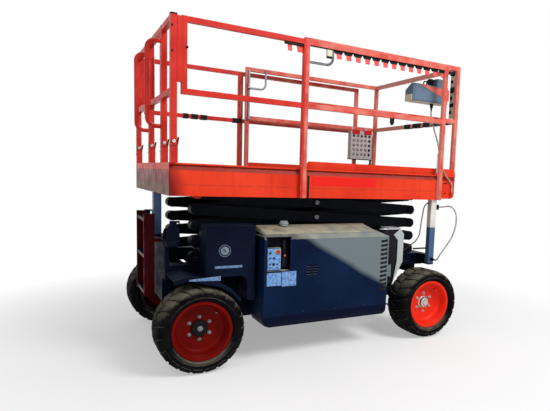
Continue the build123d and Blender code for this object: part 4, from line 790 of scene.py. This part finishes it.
# a plug in the rails' corner, and dark marks round the front mid rail
brick(lever, (1440, -700, 2560), (EXT_X1 - 7, -640, 2596), 5, 2)
for y0, y1 in ((-640, -560), (-520, -390), (-350, -240), (-200, -60), (-20, 90)):
    brick(lever, (EXT_X1 - 49, y0, 2089), (EXT_X1 - 1, y1, 2137), 3)
keep("console_lever", lever, "black", "rollout")
stop = bmesh.new()
turned(stop, at(1300, -610, 2382), (0, 0.4, 1),
       [(0, 0), (12, 0), (12, 16), (22, 18), (22, 26), (16, 30), (0, 31)], 24)
keep("console_stop", stop, "stop", "rollout")
bracket = bmesh.new()
plate(bracket, [(CON_X0 + 60, 2430), (CON_X1, 2405), (CON_X1, 2300)], -RAIL_IN - 4, 4)
keep("console_bracket", bracket, "rail", "rollout")
gland = bmesh.new()
turned(gland, at(1225, -640, CON_LOW + 7), (0, 0, -1),
       [(0, 0), (20, 0), (20, 12), (16, 16), (16, 34), (9, 52), (7.4, 74), (0, 74)], 24)
keep("console_gland", gland, "black", "rollout")
loop_end = bmesh.new()
turned(loop_end, at(1278, -700, 745), (0, -1, 0),
       [(0, 0), (16, 0), (16, 20), (13, 26), (13, 36), (8, 52), (7.4, 66), (0, 66)], 20)
keep("loop_gland", loop_end, "black", "chassis")
sockets = bmesh.new()
BOX_X0, BOX_X1 = EXT_X1 - 43, EXT_X1 - 7       # the outlets on the front post
for z0, z1 in ((2150, 2262), (2290, 2400), (2446, 2560)):
    brick(sockets, (BOX_X0, -702, z0), (BOX_X1, -636, z1), 6, 3)
keep("outlet_boxes", sockets, "cream", "rollout")
plugs = bmesh.new()
brick(plugs, (BOX_X0 - 6, -702, 2396), (BOX_X1, -640, 2450), 5, 2)
brick(plugs, (BOX_X0 - 6, -702, 2258), (BOX_X1, -640, 2294), 5, 2)
for z in (2206, 2345, 2503):
    turned(plugs, at(BOX_X0, -662, z), (-1, 0, 0), [(0, 0), (17, 0), (17, 6), (12, 7), (12, 3), (0, 3)], 20)
keep("outlet_trim", plugs, "black", "rollout")
frame_bars = bmesh.new()
for low, high in (((1374, 630, 1745), (1386, 700, 2030)), ((1078, 626, 1741), (1386, 700, 1750)),
                  ((1352, 624, 1700), (1376, 640, 1745))):
    brick(frame_bars, low, high, 3)
turned(frame_bars, at(1362, 632, 1700), (0, 0, -1),
       [(0, 0), (14, 0), (20, 8), (20, 20), (12, 30), (0, 31)], 20)
keep("box_frame", frame_bars, "black", "rollout")
hooks = bmesh.new()
for x0, x1 in ((1096, 1200), (1262, 1366)):
    brick(hooks, (x0, 624, 2040), (x1, 700, 2092), 3)
keep("box_hooks", hooks, "stop", "rollout")
clip = bmesh.new()
brick(clip, (1250, -EXT_Y - 6, 1600), (1282, -EXT_Y + 1, 1790), 2)
turned(clip, at(1266, -752, 1760), (0, 0, 1), [(7.4, 0), (13, 0), (13, 26), (7.4, 26), (7.4, 0)], 20)
keep("cable_clip", clip, "steel", "rollout")

# ---------------------------------------------------------------- chassis
REST_X0, REST_X1 = 1243.0, 1312.0              # the posts that the stowed deck rests on
REST_Y0, REST_Y1 = 643.0, 702.0
SUNLIT_TOP_LOW, DECK_UNDER = 1062.0, 1341.0
# the pale upper part of each rest post: painted sunlight with dust
painted_sunlit_tops = bmesh.new()
for side in (NEAR, FAR):
    lo, hi = sorted((side * REST_Y0, side * REST_Y1))
    brick(painted_sunlit_tops, (REST_X0, lo, SUNLIT_TOP_LOW), (REST_X1, hi, DECK_UNDER), 3)
keep("rest_post_tops", painted_sunlit_tops, "painted_sunlit_top", "chassis")
posts = bmesh.new()
for side in (NEAR, FAR):
    lo, hi = sorted((side * (REST_Y0 + 0.5), side * (REST_Y1 - 0.5)))
    brick(posts, (REST_X0 + 0.5, lo, 700), (REST_X1 - 0.5, hi, SUNLIT_TOP_LOW + 2), 3)
brick(posts, (-1269, -232, 1000), (-1207, -168, 1338), 3)
keep("rest_posts", posts, "post", "chassis")
shield = bmesh.new()
for side in (NEAR, FAR):
    corners = [(848, 1060), (891, 1014), (889, 748), (786, 562), (823, 762), (823, 956), (774, 1008)]
    plate(shield, corners, side * 747, -side * 4)
keep("fender_plates", shield, "pale", "chassis")
# black sheets standing for the deep shade behind the fender plates, and a black bar
shade_panels = bmesh.new()
for side in (NEAR, FAR):
    corners = [(652, 1040), (652, 562), (754, 544), (778, 575), (823, 827), (822, 959), (793, 1004),
               (850, 1058), (700, 1058)]
    plate(shade_panels, corners, side * 738, side * 3)
    rod(shade_panels, at(1250, side * 662, 853), at(1075, side * 662, 853), 8)
keep("wheel_shade_panels", shade_panels, "black", "chassis")
shelf = bmesh.new()
for side in (NEAR, FAR):
    brick(shelf, (716, side * 745, 1062), (856, side * 600, 1072), 2)
keep("panel_shelves", shelf, "pale", "chassis")
hose("lift_hose_upper", [(1250, -660, 1310), (1200, -650, 1290), (1188, -644, 1200), (1170, -640, 1050),
                         (1171, -636, 984), (1130, -630, 920), (1090, -580, 870), (1060, -500, 800)],
     6, "hose", "chassis")
# lifting eyes at the ladder end
eyes = bmesh.new()
EYES = ((-1215, -1140, 600, 1143, -1162, 1118),    # X from and to, Y, top, the hole's X and Z
        (-1229, -1191, 455, 1071, -1206, 1050))
for side in (NEAR, FAR):
    for x0, x1, y, top, hole_x, hole_z in EYES:
        sheet = [(x0, 960), (x1, 960), (x1, hole_z), (hole_x + 14, hole_z), (hole_x + 14, hole_z - 22),
                 (hole_x, hole_z - 22), (hole_x, top - 10), (hole_x - 6, top), (x0, top)]
        lip = [(hole_x, top - 10), (hole_x, hole_z + 10), (x1, hole_z + 10), (x1, top), (hole_x - 6, top)]
        post = [(x1 - 8, hole_z - 30), (x1, hole_z - 30), (x1, hole_z + 12), (x1 - 8, hole_z + 12)]
        for corners in (sheet, lip, post):
            plate(eyes, corners, side * y, -side * 12)
keep("lifting_eyes", eyes, "base", "chassis")
RUNGS_Z = (545, 837, 1130)
treads = bmesh.new()
for z in RUNGS_Z:
    for i in range(13):
        y = -348 + i * 28
        brick(treads, (-1358, y, z + 11), (-1292, y + 6, z + 16), 1)
keep("rung_treads", treads, "base", "chassis")

# ---------------------------------------------------------------- floor, lamps, camera
studio = bmesh.new()
bmesh.ops.create_grid(studio, x_segments=1, y_segments=1, size=40.0)
sheet = bpy.data.meshes.new("floor")
studio.to_mesh(sheet)
studio.free()
floor = bpy.data.objects.new("floor", sheet)
bpy.context.collection.objects.link(floor)
mat, tree, skin = blank("pale_floor")
tree.links.new(ramp(tree, grain(tree, 0.8), (0.3, (0.90, 0.90, 0.90)), (0.7, (0.96, 0.96, 0.96))),
               skin.inputs["Base Color"])
skin.inputs["Roughness"].default_value = 0.9
skin.inputs["Specular IOR Level"].default_value = 0.0
# away from the machine the floor turns into the white backdrop
glow = tree.nodes.new("ShaderNodeEmission")
glow.inputs["Color"].default_value = (1, 1, 1, 1)
across, along = (sums(tree, "POWER", place(tree, axis), 2) for axis in "XY")
far_off = sums(tree, "ADD", across, along)
rays = tree.nodes.new("ShaderNodeLightPath")
eye = sums(tree, "MAXIMUM", rays.outputs["Is Camera Ray"], rays.outputs["Is Glossy Ray"])
eye = sums(tree, "MAXIMUM", eye, rays.outputs["Is Transmission Ray"])
share = sums(tree, "MULTIPLY", ramp(tree, sums(tree, "DIVIDE", far_off, 20), (0.05, 0.35), (0.7, 1.0)), eye)
blend = tree.nodes.new("ShaderNodeMixShader")
tree.links.new(share, blend.inputs["Fac"])
tree.links.new(skin.outputs["BSDF"], blend.inputs[1])
tree.links.new(glow.outputs["Emission"], blend.inputs[2])
tree.links.new(blend.outputs["Shader"], tree.nodes["Material Output"].inputs["Surface"])
sheet.materials.append(mat)
floor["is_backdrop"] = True

# white all round for the eye and for gloss, a plain studio level on the object
world = bpy.data.worlds.new("studio")
bpy.context.scene.world = world
world.use_nodes = True
sky = world.node_tree.nodes["Background"]
sky.inputs["Color"].default_value = (1, 1, 1, 1)
sky.inputs["Strength"].default_value = 0.34
backdrop = world.node_tree.nodes.new("ShaderNodeBackground")
backdrop.inputs["Color"].default_value = (1, 1, 1, 1)
backdrop.inputs["Strength"].default_value = 1.0
rays = world.node_tree.nodes.new("ShaderNodeLightPath")
seen = world.node_tree.nodes.new("ShaderNodeMath")
seen.operation = "MAXIMUM"
world.node_tree.links.new(rays.outputs["Is Camera Ray"], seen.inputs[0])
world.node_tree.links.new(rays.outputs["Is Transmission Ray"], seen.inputs[1])
either = world.node_tree.nodes.new("ShaderNodeMath")
either.operation = "MAXIMUM"
world.node_tree.links.new(seen.outputs["Value"], either.inputs[0])
world.node_tree.links.new(rays.outputs["Is Glossy Ray"], either.inputs[1])
blend = world.node_tree.nodes.new("ShaderNodeMixShader")
world.node_tree.links.new(either.outputs["Value"], blend.inputs["Fac"])
world.node_tree.links.new(sky.outputs["Background"], blend.inputs[1])
world.node_tree.links.new(backdrop.outputs["Background"], blend.inputs[2])
world.node_tree.links.new(blend.outputs["Shader"], world.node_tree.nodes["World Output"].inputs["Surface"])

for name, spot, size, power in (("key", (2.4, -5.6, 6.4), 3, 440), ("fill", (-5, -4, 4), 4, 75)):
    lamp = bpy.data.lights.new(name, "AREA")
    lamp.energy = power
    lamp.size = size
    lit = bpy.data.objects.new(name, lamp)
    lit.location = spot
    lit.rotation_euler = (Vector((0, 0, 1.2)) - Vector(spot)).to_track_quat("-Z", "Y").to_euler()
    bpy.context.collection.objects.link(lit)

YAW, PITCH_DOWN, ROLL = 0.539, 0.109, 0.040
ahead = Vector((sin(YAW) * cos(PITCH_DOWN), cos(YAW) * cos(PITCH_DOWN), -sin(PITCH_DOWN)))
level = Vector((cos(YAW), -sin(YAW), 0))
upright = level.cross(ahead)
right = cos(ROLL) * level + sin(ROLL) * upright
top = -sin(ROLL) * level + cos(ROLL) * upright
lens = bpy.data.cameras.new("camera")
lens.sensor_width = 36
lens.lens = 36 * 501.24 / 550
lens.shift_x = -0.135
lens.shift_y = 0.049
lens.clip_start, lens.clip_end = 0.1, 100
camera = bpy.data.objects.new("camera", lens)
camera.matrix_world = Matrix((
    (right.x, top.x, -ahead.x, -1.9845 - DECK_MID), (right.y, top.y, -ahead.y, -4.542),
    (right.z, top.z, -ahead.z, 1.524), (0, 0, 0, 1)))
bpy.context.collection.objects.link(camera)
bpy.context.scene.camera = camera
bpy.context.scene.view_settings.view_transform = "Standard"

low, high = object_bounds()
